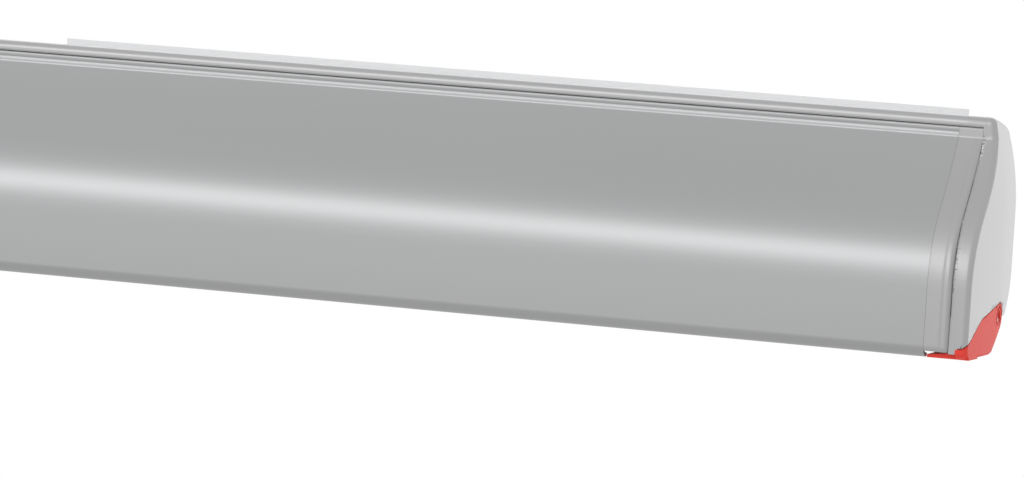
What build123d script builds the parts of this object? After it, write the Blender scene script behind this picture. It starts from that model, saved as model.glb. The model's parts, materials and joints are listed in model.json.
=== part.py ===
"""Roll out awning in a closed cassette, for the wall of a camper or caravan.

Millimetres. +X runs along the case to the right as seen from outside, -Y points away from the
vehicle wall, +Z is up. The origin is on the wall plane, at the middle of the centre wall rail,
on the line of its screw holes. In every profile a point is given as a depth (distance out from
the wall) and a drop (distance down from the top of the case).
"""
import os
from math import cos, radians, sin, sqrt

from build123d import *

# Overall sizes
EXTRUSION_LENGTH = 1800.0
CASE_HEIGHT = 95.0
HOOD_FRONT = 47.3
CASE_BACK = 2.8
CASE_WALL = 1.6
RUN_OUT = 1800.0
CANOPY_MARGIN = 50.0

# Hood and floor of the case
HOOD_SLOPE = 8.0
HOOD_NOSE_RADIUS = 3.0
HOOD_LIP = 3.7
FLOOR_DROP = 92.4
FLOOR_FRONT = 49.0
FLOOR_BEAD = 2.5
SEAL_WIDTH = 3.0
SEAL_INSET = 5.5
HOOK_LIP_REACH = 3.5
SCREW_CHANNEL_DEPTH = 8.2
SCREW_CHANNEL_HEIGHT = 12.0
CORNER_RIB = 4.2
CORNER_RIB_HEIGHT = 8.4

# Wavy front of the lead bar
LID_GAP = 0.5
FACE_LAND = 3.8
HOLLOW_RADIUS = 12.0
FACE_ANGLE = 41.0
SLOPE_RUN = 28.0
BELLY_RADIUS = 46.0
HEEL_RADIUS = 5.0
BAR_WALL = 1.6
BEAD_RADIUS = 0.8
GROOVE_RADIUS = 0.6

# Canopy groove, leg channel and details of the lead bar
KEDER_BORE = 3.1
KEDER_RADIUS = 2.9
KEDER_WALL = 1.5
KEDER_SLOT = 1.6
FLANGE_REACH = 11.0
CHANNEL_BACK = 49.9
CHANNEL_CEILING = 68.0
CHANNEL_LIP_DEPTH = 73.5
CHANNEL_BACK_END = 93.4

# Lead bar end caps
BAR_CAP_WIDTH = 10.0
BAR_CAP_BAND = 6.0
RIDGE_WIDTH = 4.0
RIDGE_PROUD = 0.8
SPIGOT_LENGTH = 15.0
SPIGOT_HEIGHT = 16.0
CORNER_TAB_WIDTH = 3.4
CORNER_TAB_HEIGHT = 10.0
CORNER_TAB_DEPTH = 0.5
KEDER_POCKET_DEPTH = 12.0
KEDER_POCKET_DROP = 16.5

# Fixed ends of the case
CAP_GROOVE = 1.0
END_PLATE = 3.5
CAP_REACH = 26.0
DOME_RADIUS = 200.0
DOME_DEPTH = 38.0
DOME_DROP = 42.0
CAP_EDGE_RADIUS = 3.0
CAP_WALL = 2.4
CAP_POCKET_FLOOR = 16.5
CAP_REAR_DROP = 66.0
CAP_REAR_RADIUS = 14.0
CAP_BOTTOM_DEPTH = 40.0

# Roller
ROLLER_DEPTH = 28.5
ROLLER_DROP = 50.0
TUBE_RADIUS = 18.0
TUBE_WALL = 1.6
TUBE_END_GAP = 16.0
ROLL_RADIUS = 22.5
ROLL_GAP = 0.1
SHAFT_RADIUS = 5.0
RUNNING_GAP = 0.05
FIXED_GAP = 0.02
PLUG_FLANGE = 3.0
PLUG_DEPTH = 20.0
SHAFT_HEAD_RADIUS = 7.0
SHAFT_HEAD = 4.0
SPRING_LENGTH = 340.0
SPRING_RADIUS = 11.5
SPRING_WIRE = 2.6
SPRING_TURNS = 12
ANCHOR_LENGTH = 14.0
ANCHOR_RADIUS = 13.0

# Canopy flap between roll and lead bar
FLAP_THICKNESS = 0.6
FLAP_GAP = 0.3

# Lock levers at the lower corners
LEVER_DEPTH = 35.0
LEVER_DROP = 80.0
LEVER_EYE = 5.5
LEVER_GAP = 0.4
LEVER_FLOOR = 13.0
LEVER_PIN_RADIUS = 2.5
LEVER_HEEL_DEPTH = 46.0
LEVER_SHOULDER_DEPTH = 60.0
LEVER_SHOULDER_DROP = 79.5
LEVER_TOE_DROP = 89.0
TONGUE_BACK_DEPTH = 64.0
TONGUE_FRONT_DEPTH = 76.0
TONGUE_ROOT = 2.3
TONGUE_TIP = 1.2
TONGUE_REACH = 9.0
NOTCH_DROP = 92.3
EYE_RING_RADIUS = 4.2
EYE_RING_WIDTH = 0.8
EYE_RING_DEPTH = 0.8

# Wall rails
RAIL_LENGTH = 400.0
RAIL_WALL = 2.5
RAIL_TOP_RISE = 0.5
RAIL_END_INSET = 8.0
RAIL_SCREW_DROP = 15.0
RAIL_SCREW_RADIUS = 2.75
RAIL_SCREW_SPACING = 300.0
RAIL_LEDGE = 1.6
RAIL_HOOK_RISE = 2.1
RAIL_FOOT_DEPTH = 24.0
RAIL_FOOT = 1.2
SEAT_GAP = 0.3
CLAMP_SCREW_RADIUS = 1.4
CLAMP_HEAD_RADIUS = 2.2
CLAMP_HEAD = 1.0
CLAMP_BITE = 5.0

# Telescopic legs, stored in the channel of the lead bar
LEG_WIDTH = 16.0
LEG_HEIGHT = 18.0
LEG_WALL = 1.2
LEG_CORNER = 2.0
LEG_SLIDE_GAP = 0.3
LEG_DEPTH = 62.5
LEG_DROP = 80.0
LEG_PIVOT_INSET = 15.0
LEG_CENTRE_GAP = 61.0
LEG_PIN_RADIUS = 3.0
LEG_INNER_START = 20.0
LEG_STAGE_STEP = 10.0
LEG_COLLAR = 4.0
LEG_FOOT = 24.0
LEG_FOOT_TREAD = 4.0
HINGE_BLOCK_LENGTH = 31.0
HINGE_CHEEK = 2.3
HINGE_SIDE_GAP = 0.3
HINGE_BLOCK_TOP_GAP = 0.2

# Tension rafters, stored one above the other behind the lead bar
RAFTER_WIDTH = 14.0
RAFTER_HEIGHT = 7.8
RAFTER_WALL = 1.0
RAFTER_SLIDE_GAP = 0.3
RAFTER_DEPTH = 14.5
RAFTER_TOP_DROP = 74.0
RAFTER_LEVEL_GAP = 0.6
RAFTER_PIVOT_INSET = 34.0
RAFTER_FAR_GAP = 780.0
RAFTER_TIP = 20.0
RAFTER_PIN_RADIUS = 2.5
RAFTER_INNER_START = 20.0
RAFTER_ANGLE = 72.0
BRACKET_THICKNESS = 7.0
BRACKET_GAP = 0.3
SEAT_REACH = 25.0
SEAT_PAD_START = 1.0
SEAT_LIP = 4.0
SEAT_LIP_REACH = 3.0
SEAT_TIP_GAP = 0.5

# End screws
END_SCREW_RADIUS = 2.0
END_SCREW_HEAD_RADIUS = 3.6
END_SCREW_HEAD = 2.2
END_SCREW_BITE = 14.0
SCREW_PORT_WALL = 1.6
UPPER_PORT_DEPTH = 17.0
UPPER_PORT_DROP = 11.5
LOWER_PORT_DROP = 69.5
CAP_SCREW_DEPTH = 17.0
UPPER_CAP_SCREW_DROP = 27.5
LOWER_CAP_SCREW_DROP = 69.0

OVERRUN = 5.0

# Worked out from the sizes above
TOP_Z = RAIL_SCREW_DROP
HALF = EXTRUSION_LENGTH / 2
CANOPY_WIDTH = EXTRUSION_LENGTH - 2 * CANOPY_MARGIN
BAR_TOP_DROP = HOOD_LIP + LID_GAP
FACE_START_DROP = BAR_TOP_DROP + FACE_LAND
FACE_REACH = (HOLLOW_RADIUS + BELLY_RADIUS) * (1 - cos(radians(FACE_ANGLE))) + SLOPE_RUN * sin(
    radians(FACE_ANGLE)
)
FACE_FRONT = HOOD_FRONT + FACE_REACH
CAP_INNER_X = HALF + BAR_CAP_WIDTH + CAP_GROOVE
CAP_OUTER_X = HALF + CAP_REACH
TUBE_HALF = HALF - TUBE_END_GAP
RAFTER_LOW_TOP_DROP = RAFTER_TOP_DROP + RAFTER_HEIGHT + RAFTER_LEVEL_GAP
RAFTER_END_RADIUS = RAFTER_WIDTH / 2
RAFTER_TUBE = EXTRUSION_LENGTH - RAFTER_FAR_GAP
RAFTER_STORED = RAFTER_TUBE + RAFTER_TIP - RAFTER_END_RADIUS
SEAT_DEPTH = CHANNEL_BACK - SEAT_REACH
RAFTER_OPEN = (
    SEAT_DEPTH + RUN_OUT - SEAT_TIP_GAP - RAFTER_END_RADIUS - RAFTER_DEPTH
) / sin(radians(RAFTER_ANGLE))
RAFTER_TRAVEL = RAFTER_OPEN - RAFTER_STORED
RAFTER_PIVOT_X = HALF - RAFTER_PIVOT_INSET
SEAT_X = RAFTER_PIVOT_X - RAFTER_OPEN * cos(radians(RAFTER_ANGLE))
LEG_PIVOT_X = HALF - LEG_PIVOT_INSET
LEG_LENGTH = LEG_PIVOT_X - LEG_CENTRE_GAP - LEG_FOOT - 2 * LEG_STAGE_STEP


def yz(depth, drop):
    """A profile point, from its distance out from the wall and down from the top of the case."""
    return (-depth, TOP_Z - drop)


def block(depths, drops):
    """A rectangle in the profile plane, between two depths and two drops."""
    corners = [
        yz(depths[0], drops[0]),
        yz(depths[1], drops[0]),
        yz(depths[1], drops[1]),
        yz(depths[0], drops[1]),
    ]
    return make_face(Polyline(corners, close=True))


def disc(radius, depth, drop):
    """A round face in the profile plane."""
    return Pos(*yz(depth, drop)) * Circle(radius)


def along(face, start, end):
    """Extrudes a profile along the case, from one X to another."""
    return Pos(start, 0, 0) * extrude(Plane.YZ * face, amount=end - start)


def bar_along_x(start, end, depths, drops):
    """A plain rectangular bar lying along the case."""
    return along(block(depths, drops), start, end)


def rod_along_x(radius, start, end, depth, drop):
    """A round rod lying along the case."""
    return along(disc(radius, depth, drop), start, end)


def upright_rod(radius, x, depth, top_drop, bottom_drop):
    """A round rod standing upright."""
    base = Plane(origin=(x, -depth, TOP_Z - bottom_drop), z_dir=(0, 0, 1))
    return extrude(base * Circle(radius), amount=bottom_drop - top_drop)


def rod_to_front(radius, x, drop, back_depth, front_depth):
    """A round rod pointing straight out from the wall."""
    base = Plane(origin=(x, -back_depth, TOP_Z - drop), x_dir=(1, 0, 0), z_dir=(0, -1, 0))
    return extrude(base * Circle(radius), amount=front_depth - back_depth)


def mirrored(shape):
    """The same piece for the other end of the awning."""
    return mirror(shape, about=Plane.YZ)


def front_edges(inset):
    """The wavy front from the top edge of the lead bar down round its heel, moved inwards."""
    start = yz(HOOD_FRONT - inset, BAR_TOP_DROP + inset)
    land = Line(start, yz(HOOD_FRONT - inset, FACE_START_DROP))
    hollow = JernArc(land @ 1, land % 1, HOLLOW_RADIUS + inset, -FACE_ANGLE)
    slope = Line(hollow @ 1, (hollow @ 1) + (hollow % 1) * SLOPE_RUN)
    belly = JernArc(slope @ 1, slope % 1, BELLY_RADIUS - inset, FACE_ANGLE)
    side = Line(belly @ 1, yz(FACE_FRONT - inset, CASE_HEIGHT - HEEL_RADIUS))
    heel = JernArc(side @ 1, side % 1, HEEL_RADIUS - inset, 90)
    return [land, hollow, slope, belly, side, heel]


def front_region(inset, back_depth):
    """All that lies behind the wavy front, as far back as a given depth."""
    edges = front_edges(inset)
    first, last = edges[0] @ 0, edges[-1] @ 1
    bottom = Line(last, yz(back_depth, CASE_HEIGHT - inset))
    back = Line(bottom @ 1, yz(back_depth, BAR_TOP_DROP + inset))
    return make_face(edges + [bottom, back, Line(back @ 1, first)])


def hood_drop(depth, inset=0):
    """Drop of the sloping top of the hood at a given depth, or of its underside."""
    slope = radians(HOOD_SLOPE)
    radius = HOOD_NOSE_RADIUS - inset
    nose_end = HOOD_FRONT - HOOD_NOSE_RADIUS - radius * sin(slope)
    return HOOD_NOSE_RADIUS - radius * cos(slope) + (nose_end - depth) * sin(slope) / cos(slope)


def hood_edges(inset):
    """Front lip, nose and sloping top of the hood, moved inwards, from front to back."""
    front = HOOD_FRONT - inset
    back = CASE_BACK + inset
    lip = Line(yz(front, HOOD_LIP), yz(front, HOOD_NOSE_RADIUS))
    nose = JernArc(lip @ 1, lip % 1, HOOD_NOSE_RADIUS - inset, -(90 + HOOD_SLOPE))
    top = Line(nose @ 1, yz(back, hood_drop(back, inset)))
    return [lip, nose, top]


def case_region(inset):
    """The whole section of the case behind its front opening, moved inwards."""
    edges = hood_edges(inset)
    back = CASE_BACK + inset
    wall = Line(edges[-1] @ 1, yz(back, FLOOR_DROP - inset))
    floor = Line(wall @ 1, yz(FACE_FRONT, FLOOR_DROP - inset))
    front = Line(floor @ 1, yz(FACE_FRONT, HOOD_LIP))
    shelf = Line(front @ 1, edges[0] @ 0)
    return make_face(edges + [wall, floor, front, shelf])


def rear_zone(gap):
    """Everything behind the line where the lead bar closes on the ends of the case."""
    slope = sin(radians(FACE_ANGLE)) / cos(radians(FACE_ANGLE))
    pocket = HOOD_FRONT - KEDER_POCKET_DEPTH + gap
    step_drop = KEDER_POCKET_DROP - gap
    slant_depth = HOOD_FRONT - BAR_CAP_BAND + gap / cos(radians(FACE_ANGLE))
    flank = CHANNEL_BACK - LID_GAP + gap
    corners = [
        yz(pocket, -OVERRUN),
        yz(pocket, step_drop),
        yz(slant_depth - gap * slope, step_drop),
        yz(flank, KEDER_POCKET_DROP + (flank - slant_depth) / slope),
        yz(flank, CASE_HEIGHT + OVERRUN),
        yz(-OVERRUN, CASE_HEIGHT + OVERRUN),
        yz(-OVERRUN, -OVERRUN),
    ]
    return make_face(Polyline(corners, close=True))


def end_region():
    """Section of the fixed case ends: the case, its hood, and the zone behind the lead bar caps."""
    hood = block((0, HOOD_FRONT), (-OVERRUN, HOOD_LIP))
    return case_region(0) & (rear_zone(0) + hood)


def screw_ports():
    """Centres of the end screw ports of the case profile, as (depth, drop)."""
    return [
        (UPPER_PORT_DEPTH, UPPER_PORT_DROP),
        (CASE_BACK + CASE_WALL + END_SCREW_RADIUS + SCREW_PORT_WALL, LOWER_PORT_DROP),
    ]


def make_rear_profile():
    """Extruded case: hood, back wall with screw channel and hook lip, floor with front bead."""
    shell = case_region(0) - case_region(CASE_WALL)
    shell -= block((FLOOR_FRONT, FACE_FRONT + OVERRUN), (-OVERRUN, CASE_HEIGHT + OVERRUN))
    lip_end = hook_lip_end()
    channel_end = lip_end + SCREW_CHANNEL_HEIGHT
    shell -= block((0, CASE_BACK + CASE_WALL), (lip_end, channel_end))
    inner = SCREW_CHANNEL_DEPTH + CASE_WALL
    shell += block((SCREW_CHANNEL_DEPTH, inner), (0, channel_end + CASE_WALL))
    shell += block((CASE_BACK, inner), (channel_end, channel_end + CASE_WALL))
    rib_depth = CASE_BACK + CORNER_RIB
    shell += block((CASE_BACK, rib_depth), (FLOOR_DROP - CORNER_RIB_HEIGHT, FLOOR_DROP))
    shell &= case_region(0)
    for port_depth, port_drop in screw_ports():
        half_web = CASE_WALL / 2
        shell += disc(END_SCREW_RADIUS + SCREW_PORT_WALL, port_depth, port_drop)
        shell += block((CASE_BACK + CASE_WALL, port_depth), (port_drop - half_web, port_drop + half_web))
        shell -= disc(END_SCREW_RADIUS + FIXED_GAP, port_depth, port_drop)
    web_top = screw_ports()[0][1] - CASE_WALL / 2
    shell -= block((CASE_BACK + CASE_WALL, SCREW_CHANNEL_DEPTH), (web_top, channel_end))
    bead_drop = FLOOR_DROP + FLOOR_BEAD - CASE_WALL
    shell += block((FLOOR_FRONT - FLOOR_BEAD, FLOOR_FRONT), (FLOOR_DROP - CASE_WALL, bead_drop))
    profile = along(shell, -HALF, HALF)
    for x in clamp_screw_places():
        profile -= upright_rod(
            CLAMP_SCREW_RADIUS + FIXED_GAP,
            x,
            clamp_screw_depth(),
            FLOOR_DROP - CLAMP_BITE - FIXED_GAP,
            CASE_HEIGHT,
        )
    return profile


def hook_lip_end():
    """Drop of the lower edge of the lip that hooks over the wall rails."""
    return hood_drop(CASE_BACK) + HOOK_LIP_REACH


def make_hood_seal():
    """Rubber strip under the nose of the hood, which the lead bar closes against."""
    strip = block(
        (HOOD_FRONT - SEAL_INSET - SEAL_WIDTH, HOOD_FRONT - SEAL_INSET), (0, BAR_TOP_DROP - SEAT_GAP)
    )
    return along(strip & case_region(CASE_WALL), -HALF, HALF)


def lead_bar_section():
    """Section of the front extrusion, with canopy groove and leg channel."""
    back = HOOD_FRONT - FLANGE_REACH
    shell = front_region(0, back) - front_region(BAR_WALL, 0)
    shell -= block((0, CHANNEL_LIP_DEPTH), (CHANNEL_CEILING, CASE_HEIGHT + OVERRUN))
    inside = front_region(0, 0)
    ceiling = block(
        (CHANNEL_BACK, FACE_FRONT), (CHANNEL_CEILING, CHANNEL_CEILING + BAR_WALL)
    )
    shell += ceiling & inside
    shell += block(
        (CHANNEL_BACK, CHANNEL_BACK + BAR_WALL), (CHANNEL_CEILING, CHANNEL_BACK_END)
    )
    depth, drop = keder_place()
    shell += disc(KEDER_BORE + KEDER_WALL, depth, drop)
    shell -= disc(KEDER_BORE, depth, drop)
    shell -= block(
        (0, depth), (drop - KEDER_SLOT / 2, drop + KEDER_SLOT / 2)
    )
    bead_drop = BAR_TOP_DROP + BEAD_RADIUS
    groove_drop = bead_drop + BEAD_RADIUS + GROOVE_RADIUS
    shell += disc(BEAD_RADIUS, HOOD_FRONT - BEAD_RADIUS / 2, bead_drop)
    shell -= disc(GROOVE_RADIUS, HOOD_FRONT, groove_drop)
    return shell


def keder_place():
    """Centre of the canopy groove, as (depth, drop)."""
    outer = KEDER_BORE + KEDER_WALL
    return HOOD_FRONT - FLANGE_REACH + outer, BAR_TOP_DROP + BAR_WALL / 2 + outer


def make_lead_bar():
    """Front extrusion, which is the outer face of the closed awning."""
    return along(lead_bar_section(), -HALF, HALF)


def make_canopy_keder():
    """Plastic rod sewn into the canopy's front edge, in the groove of the lead bar."""
    depth, drop = keder_place()
    return rod_along_x(KEDER_RADIUS, -CANOPY_WIDTH / 2, CANOPY_WIDTH / 2, depth, drop)


def make_canopy_flap():
    """Free stretch of canopy between the roll and the lead bar."""
    depth, drop = keder_place()
    slot_mouth = depth - KEDER_BORE - KEDER_WALL
    roll_top = ROLLER_DROP - ROLL_RADIUS - FLAP_GAP
    half = FLAP_THICKNESS / 2
    behind = ROLLER_DEPTH - FLAP_THICKNESS
    strip = Polyline(
        yz(depth - KEDER_RADIUS - ROLL_GAP, drop - half),
        yz(slot_mouth - half, drop - half),
        yz(behind, drop + half + KEDER_BORE),
        yz(behind, roll_top),
        yz(behind + FLAP_THICKNESS, roll_top),
        yz(behind + FLAP_THICKNESS, drop + half + KEDER_BORE),
        yz(slot_mouth, drop + half),
        yz(depth - KEDER_RADIUS - ROLL_GAP, drop + half),
        close=True,
    )
    return along(make_face(strip), -CANOPY_WIDTH / 2, CANOPY_WIDTH / 2)


def make_bar_cap():
    """Right end cap of the lead bar, with its rounded outer ridge and the notch for the tongue."""
    back = HOOD_FRONT - FLANGE_REACH
    section = front_region(0, back) - rear_zone(LID_GAP)
    cap = along(section, HALF, HALF + BAR_CAP_WIDTH)
    ridge_start = HALF + BAR_CAP_WIDTH - RIDGE_WIDTH
    ridge_face = front_region(-RIDGE_PROUD, back) - front_region(BAR_WALL, 0)
    ridge_face -= block((0, FACE_FRONT), (-OVERRUN, FACE_START_DROP))
    ridge_face -= block((0, FACE_FRONT + OVERRUN), (CASE_HEIGHT - HEEL_RADIUS, CASE_HEIGHT + OVERRUN))
    ridge = along(ridge_face, ridge_start, HALF + BAR_CAP_WIDTH)
    cap += fillet(ridge_edges(ridge), RIDGE_PROUD - FIXED_GAP)
    cap -= bar_along_x(
        HALF - OVERRUN, HALF + BAR_CAP_WIDTH + OVERRUN, (0, FACE_FRONT + OVERRUN),
        (NOTCH_DROP, CASE_HEIGHT + OVERRUN),
    )
    tab_front = FACE_FRONT + RIDGE_PROUD
    cap -= bar_along_x(
        HALF + BAR_CAP_WIDTH - CORNER_TAB_WIDTH,
        HALF + BAR_CAP_WIDTH + OVERRUN,
        (tab_front - CORNER_TAB_DEPTH - RIDGE_PROUD, tab_front + OVERRUN),
        (NOTCH_DROP - CORNER_TAB_HEIGHT, NOTCH_DROP),
    )
    spigot_bottom = CHANNEL_CEILING - SEAT_GAP
    spigot = front_region(BAR_WALL + SEAT_GAP, CHANNEL_BACK + BAR_WALL) & block(
        (CHANNEL_BACK + BAR_WALL, FACE_FRONT), (spigot_bottom - SPIGOT_HEIGHT, spigot_bottom)
    )
    cap += along(spigot, HALF - SPIGOT_LENGTH, HALF + BAR_WALL)
    return cap


def ridge_edges(ridge):
    """The long edges on both sides of the ridge's outward faces, which get rounded."""
    outward = ridge.faces().filter_by(lambda face: face.normal_at().Y < -sin(radians(HOOD_SLOPE)))
    return outward.edges().filter_by(lambda edge: abs((edge % 0.5).X) < sin(radians(HOOD_SLOPE)))


def cap_outline():
    """Outline of the domed end cap: wavy front, flat bottom, and a slanting lower rear corner."""
    edges = front_edges(0)
    bottom = Line(edges[-1] @ 1, yz(CAP_BOTTOM_DEPTH, CASE_HEIGHT))
    slant_end = yz(CASE_BACK, CAP_REAR_DROP)
    slant = Line(bottom @ 1, slant_end)
    hood = hood_edges(0)
    wall = Line(slant @ 1, hood[-1] @ 1)
    join = Line(edges[0] @ 0, hood[0] @ 0)
    face = make_face(edges + [bottom, slant, wall] + hood + [join])
    slant_ends = [Vector(*yz(CAP_BOTTOM_DEPTH, CASE_HEIGHT)), Vector(*slant_end)]
    rounded = face.vertices().filter_by(
        lambda vertex: min((vertex.center() - end).length for end in slant_ends) < FIXED_GAP
    )
    return fillet(rounded, CAP_REAR_RADIUS)


def make_outer_cap_blank():
    """Domed end cap before the lever is cut out of it."""
    blank = along(cap_outline(), CAP_INNER_X, CAP_OUTER_X + OVERRUN)
    centre = (CAP_OUTER_X - DOME_RADIUS, -DOME_DEPTH, TOP_Z - DOME_DROP)
    blank &= Pos(*centre) * Sphere(DOME_RADIUS)
    crown = blank.faces().filter_by(GeomType.SPHERE)
    return fillet(crown.edges(), CAP_EDGE_RADIUS)


def lever_shape(gap):
    """Side view of the lever, grown by a gap, from its eye down to its toe and heel."""
    eye = LEVER_EYE + gap
    far = CASE_HEIGHT + OVERRUN
    back = make_face(
        Polyline(
            yz(LEVER_DEPTH, LEVER_DROP - eye),
            yz(LEVER_SHOULDER_DEPTH, LEVER_SHOULDER_DROP - gap),
            yz(TONGUE_FRONT_DEPTH, LEVER_TOE_DROP - gap - HEEL_RADIUS / 2),
            yz(FACE_FRONT + OVERRUN, LEVER_TOE_DROP - gap),
            yz(FACE_FRONT + OVERRUN, far),
            yz(LEVER_HEEL_DEPTH - gap, far),
            yz(LEVER_HEEL_DEPTH - gap, CASE_HEIGHT),
            yz(LEVER_DEPTH - eye * sin(radians(45)), LEVER_DROP + eye * cos(radians(45))),
            close=True,
        )
    )
    return back + disc(eye, LEVER_DEPTH, LEVER_DROP)


def lever_recess():
    """Side view of the pocket in the cap: the lever with its gap, open below and behind."""
    eye = LEVER_EYE + LEVER_GAP
    far = CASE_HEIGHT + OVERRUN
    below = block((-OVERRUN, LEVER_HEEL_DEPTH), (LEVER_DROP, far))
    below -= block((-OVERRUN, LEVER_DEPTH - eye), (0, LEVER_DROP))
    return lever_shape(LEVER_GAP) + below


def make_lock_lever(blank):
    """Red lock lever: a piece of the cap's lower corner, with a tongue under the lead bar."""
    floor = HALF + LEVER_FLOOR + LEVER_GAP
    lever = blank & along(lever_shape(0), floor, CAP_OUTER_X + OVERRUN)
    tongue = make_face(
        Polyline(
            (HALF + BAR_CAP_WIDTH - TONGUE_REACH + CAP_GROOVE, TOP_Z - CASE_HEIGHT + TONGUE_TIP),
            (CAP_INNER_X, TOP_Z - CASE_HEIGHT + TONGUE_ROOT),
            (floor + RIDGE_WIDTH, TOP_Z - CASE_HEIGHT + TONGUE_ROOT),
            (floor + RIDGE_WIDTH, TOP_Z - CASE_HEIGHT),
            (HALF + BAR_CAP_WIDTH - TONGUE_REACH + CAP_GROOVE, TOP_Z - CASE_HEIGHT),
            close=True,
        )
    )
    base = Plane(origin=(0, -TONGUE_BACK_DEPTH, 0), x_dir=(1, 0, 0), z_dir=(0, -1, 0))
    blade = extrude(base * tongue, amount=TONGUE_FRONT_DEPTH - TONGUE_BACK_DEPTH)
    lever += blade
    lever -= rod_along_x(
        LEVER_PIN_RADIUS + RUNNING_GAP, floor - OVERRUN, CAP_OUTER_X + OVERRUN, LEVER_DEPTH, LEVER_DROP
    )
    ring_bottom = lever_eye_surface() - EYE_RING_DEPTH
    ring = disc(EYE_RING_RADIUS, LEVER_DEPTH, LEVER_DROP)
    ring -= disc(EYE_RING_RADIUS - EYE_RING_WIDTH, LEVER_DEPTH, LEVER_DROP)
    return lever - along(ring, ring_bottom, CAP_OUTER_X + OVERRUN)


def lever_eye_surface():
    """X of the domed surface at the lever's pivot."""
    flat = DOME_RADIUS**2 - (LEVER_DEPTH - DOME_DEPTH) ** 2 - (LEVER_DROP - DOME_DROP) ** 2
    return CAP_OUTER_X - DOME_RADIUS + sqrt(flat)


def make_outer_cap(blank):
    """Domed end cap with its collar, hollow rear half, lever pocket and pin boss."""
    floor = HALF + LEVER_FLOOR
    cap = blank - along(lever_recess(), floor, CAP_OUTER_X + OVERRUN)
    cap += along(end_region(), HALF + END_PLATE, CAP_INNER_X)
    hollow = end_region() & case_region(CAP_WALL)
    hollow &= block((CASE_BACK + CAP_WALL, CHANNEL_BACK - LID_GAP - CAP_WALL), (0, CASE_HEIGHT))
    hollow &= rear_zone(-CAP_WALL)
    upper = hollow & block((0, FACE_FRONT), (0, LEVER_DROP - LEVER_EYE - LEVER_GAP - CAP_WALL))
    cap -= along(hollow, HALF, floor - CAP_WALL)
    cap -= along(upper, HALF, HALF + CAP_POCKET_FLOOR)
    cap += rod_along_x(
        LEVER_EYE, HALF + END_PLATE, floor, LEVER_DEPTH, LEVER_DROP
    )
    for depth, drop in cap_screw_places():
        cap += rod_along_x(
            END_SCREW_RADIUS + SCREW_PORT_WALL, HALF + END_PLATE, HALF + CAP_POCKET_FLOOR + CAP_WALL,
            depth, drop,
        )
        cap -= rod_along_x(END_SCREW_RADIUS + FIXED_GAP, HALF, HALF + END_SCREW_BITE, depth, drop)
    cap -= rod_along_x(
        LEVER_PIN_RADIUS + FIXED_GAP, HALF + END_PLATE + CAP_WALL, CAP_OUTER_X, LEVER_DEPTH, LEVER_DROP
    )
    notch = block((TONGUE_BACK_DEPTH - OVERRUN, FACE_FRONT + OVERRUN), (NOTCH_DROP, CASE_HEIGHT + OVERRUN))
    cap -= along(notch, CAP_INNER_X - OVERRUN, floor + OVERRUN)
    for depth, drop in screw_ports():
        cap -= rod_along_x(
            END_SCREW_HEAD_RADIUS + SEAT_GAP, HALF, HALF + END_PLATE + END_SCREW_HEAD + SEAT_GAP, depth, drop
        )
    head = SHAFT_HEAD_RADIUS + SEAT_GAP
    cap -= rod_along_x(head, HALF, HALF + END_PLATE + SHAFT_HEAD + SEAT_GAP, ROLLER_DEPTH, ROLLER_DROP)
    return cap


def cap_screw_places():
    """Bosses in the outer cap for the screws that hold it to the end plate, as (depth, drop)."""
    return [(CAP_SCREW_DEPTH, UPPER_CAP_SCREW_DROP), (CAP_SCREW_DEPTH, LOWER_CAP_SCREW_DROP)]


def make_end_plate():
    """Cast plate that closes the end of the case and carries roller, rafter and outer cap."""
    plate = along(end_region(), HALF, HALF + END_PLATE)
    plate += rod_along_x(
        SHAFT_RADIUS * 2, HALF - END_PLATE, HALF, ROLLER_DEPTH, ROLLER_DROP
    )
    plate -= rod_along_x(
        SHAFT_RADIUS + FIXED_GAP, HALF - OVERRUN, HALF + OVERRUN, ROLLER_DEPTH, ROLLER_DROP
    )
    for depth, drop in screw_ports() + cap_screw_places():
        plate -= rod_along_x(END_SCREW_RADIUS + FIXED_GAP, HALF - OVERRUN, HALF + OVERRUN, depth, drop)
    return plate


def screw_along_x(tip, head_face, depth, drop, outward):
    """Pan head screw along the case, its shank from tip to head_face and its head beyond."""
    head_end = head_face + outward * END_SCREW_HEAD
    low, high = sorted((tip, head_face))
    shank = rod_along_x(END_SCREW_RADIUS, low, high, depth, drop)
    low, high = sorted((head_face, head_end))
    head = rod_along_x(END_SCREW_HEAD_RADIUS, low, high, depth, drop)
    return shank + head


def make_end_screws():
    """Screws from outside through the end plates into the ports of the case profile."""
    screws = []
    for depth, drop in screw_ports():
        right = screw_along_x(
            HALF - END_SCREW_BITE + FIXED_GAP, HALF + END_PLATE, depth, drop, 1
        )
        screws += [right, mirrored(right)]
    return Compound(screws)


def make_cap_screws():
    """Screws from inside through the end plates into the bosses of the outer caps."""
    screws = []
    for depth, drop in cap_screw_places():
        right = screw_along_x(HALF + END_SCREW_BITE - FIXED_GAP, HALF, depth, drop, -1)
        screws += [right, mirrored(right)]
    return Compound(screws)


def make_lever_pins():
    """Pivot pins of the two lock levers."""
    pin = rod_along_x(
        LEVER_PIN_RADIUS,
        HALF + END_PLATE + CAP_WALL + FIXED_GAP,
        lever_eye_surface() - EYE_RING_DEPTH,
        LEVER_DEPTH,
        LEVER_DROP,
    )
    return Compound([pin, mirrored(pin)])


def rail_starts():
    """Left ends of the three wall rails."""
    outer = HALF - RAIL_END_INSET
    return {"left": -outer, "centre": -RAIL_LENGTH / 2, "right": outer - RAIL_LENGTH}


def clamp_screw_places():
    """X of the clamp screws, two under each wall rail."""
    inset = (RAIL_LENGTH - RAIL_SCREW_SPACING) / 2
    return [
        start + offset
        for start in rail_starts().values()
        for offset in (inset, RAIL_LENGTH - inset)
    ]


def clamp_screw_depth():
    """Depth of the clamp screws, in the middle of the corner rib of the case."""
    return CASE_BACK + CORNER_RIB / 2


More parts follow.
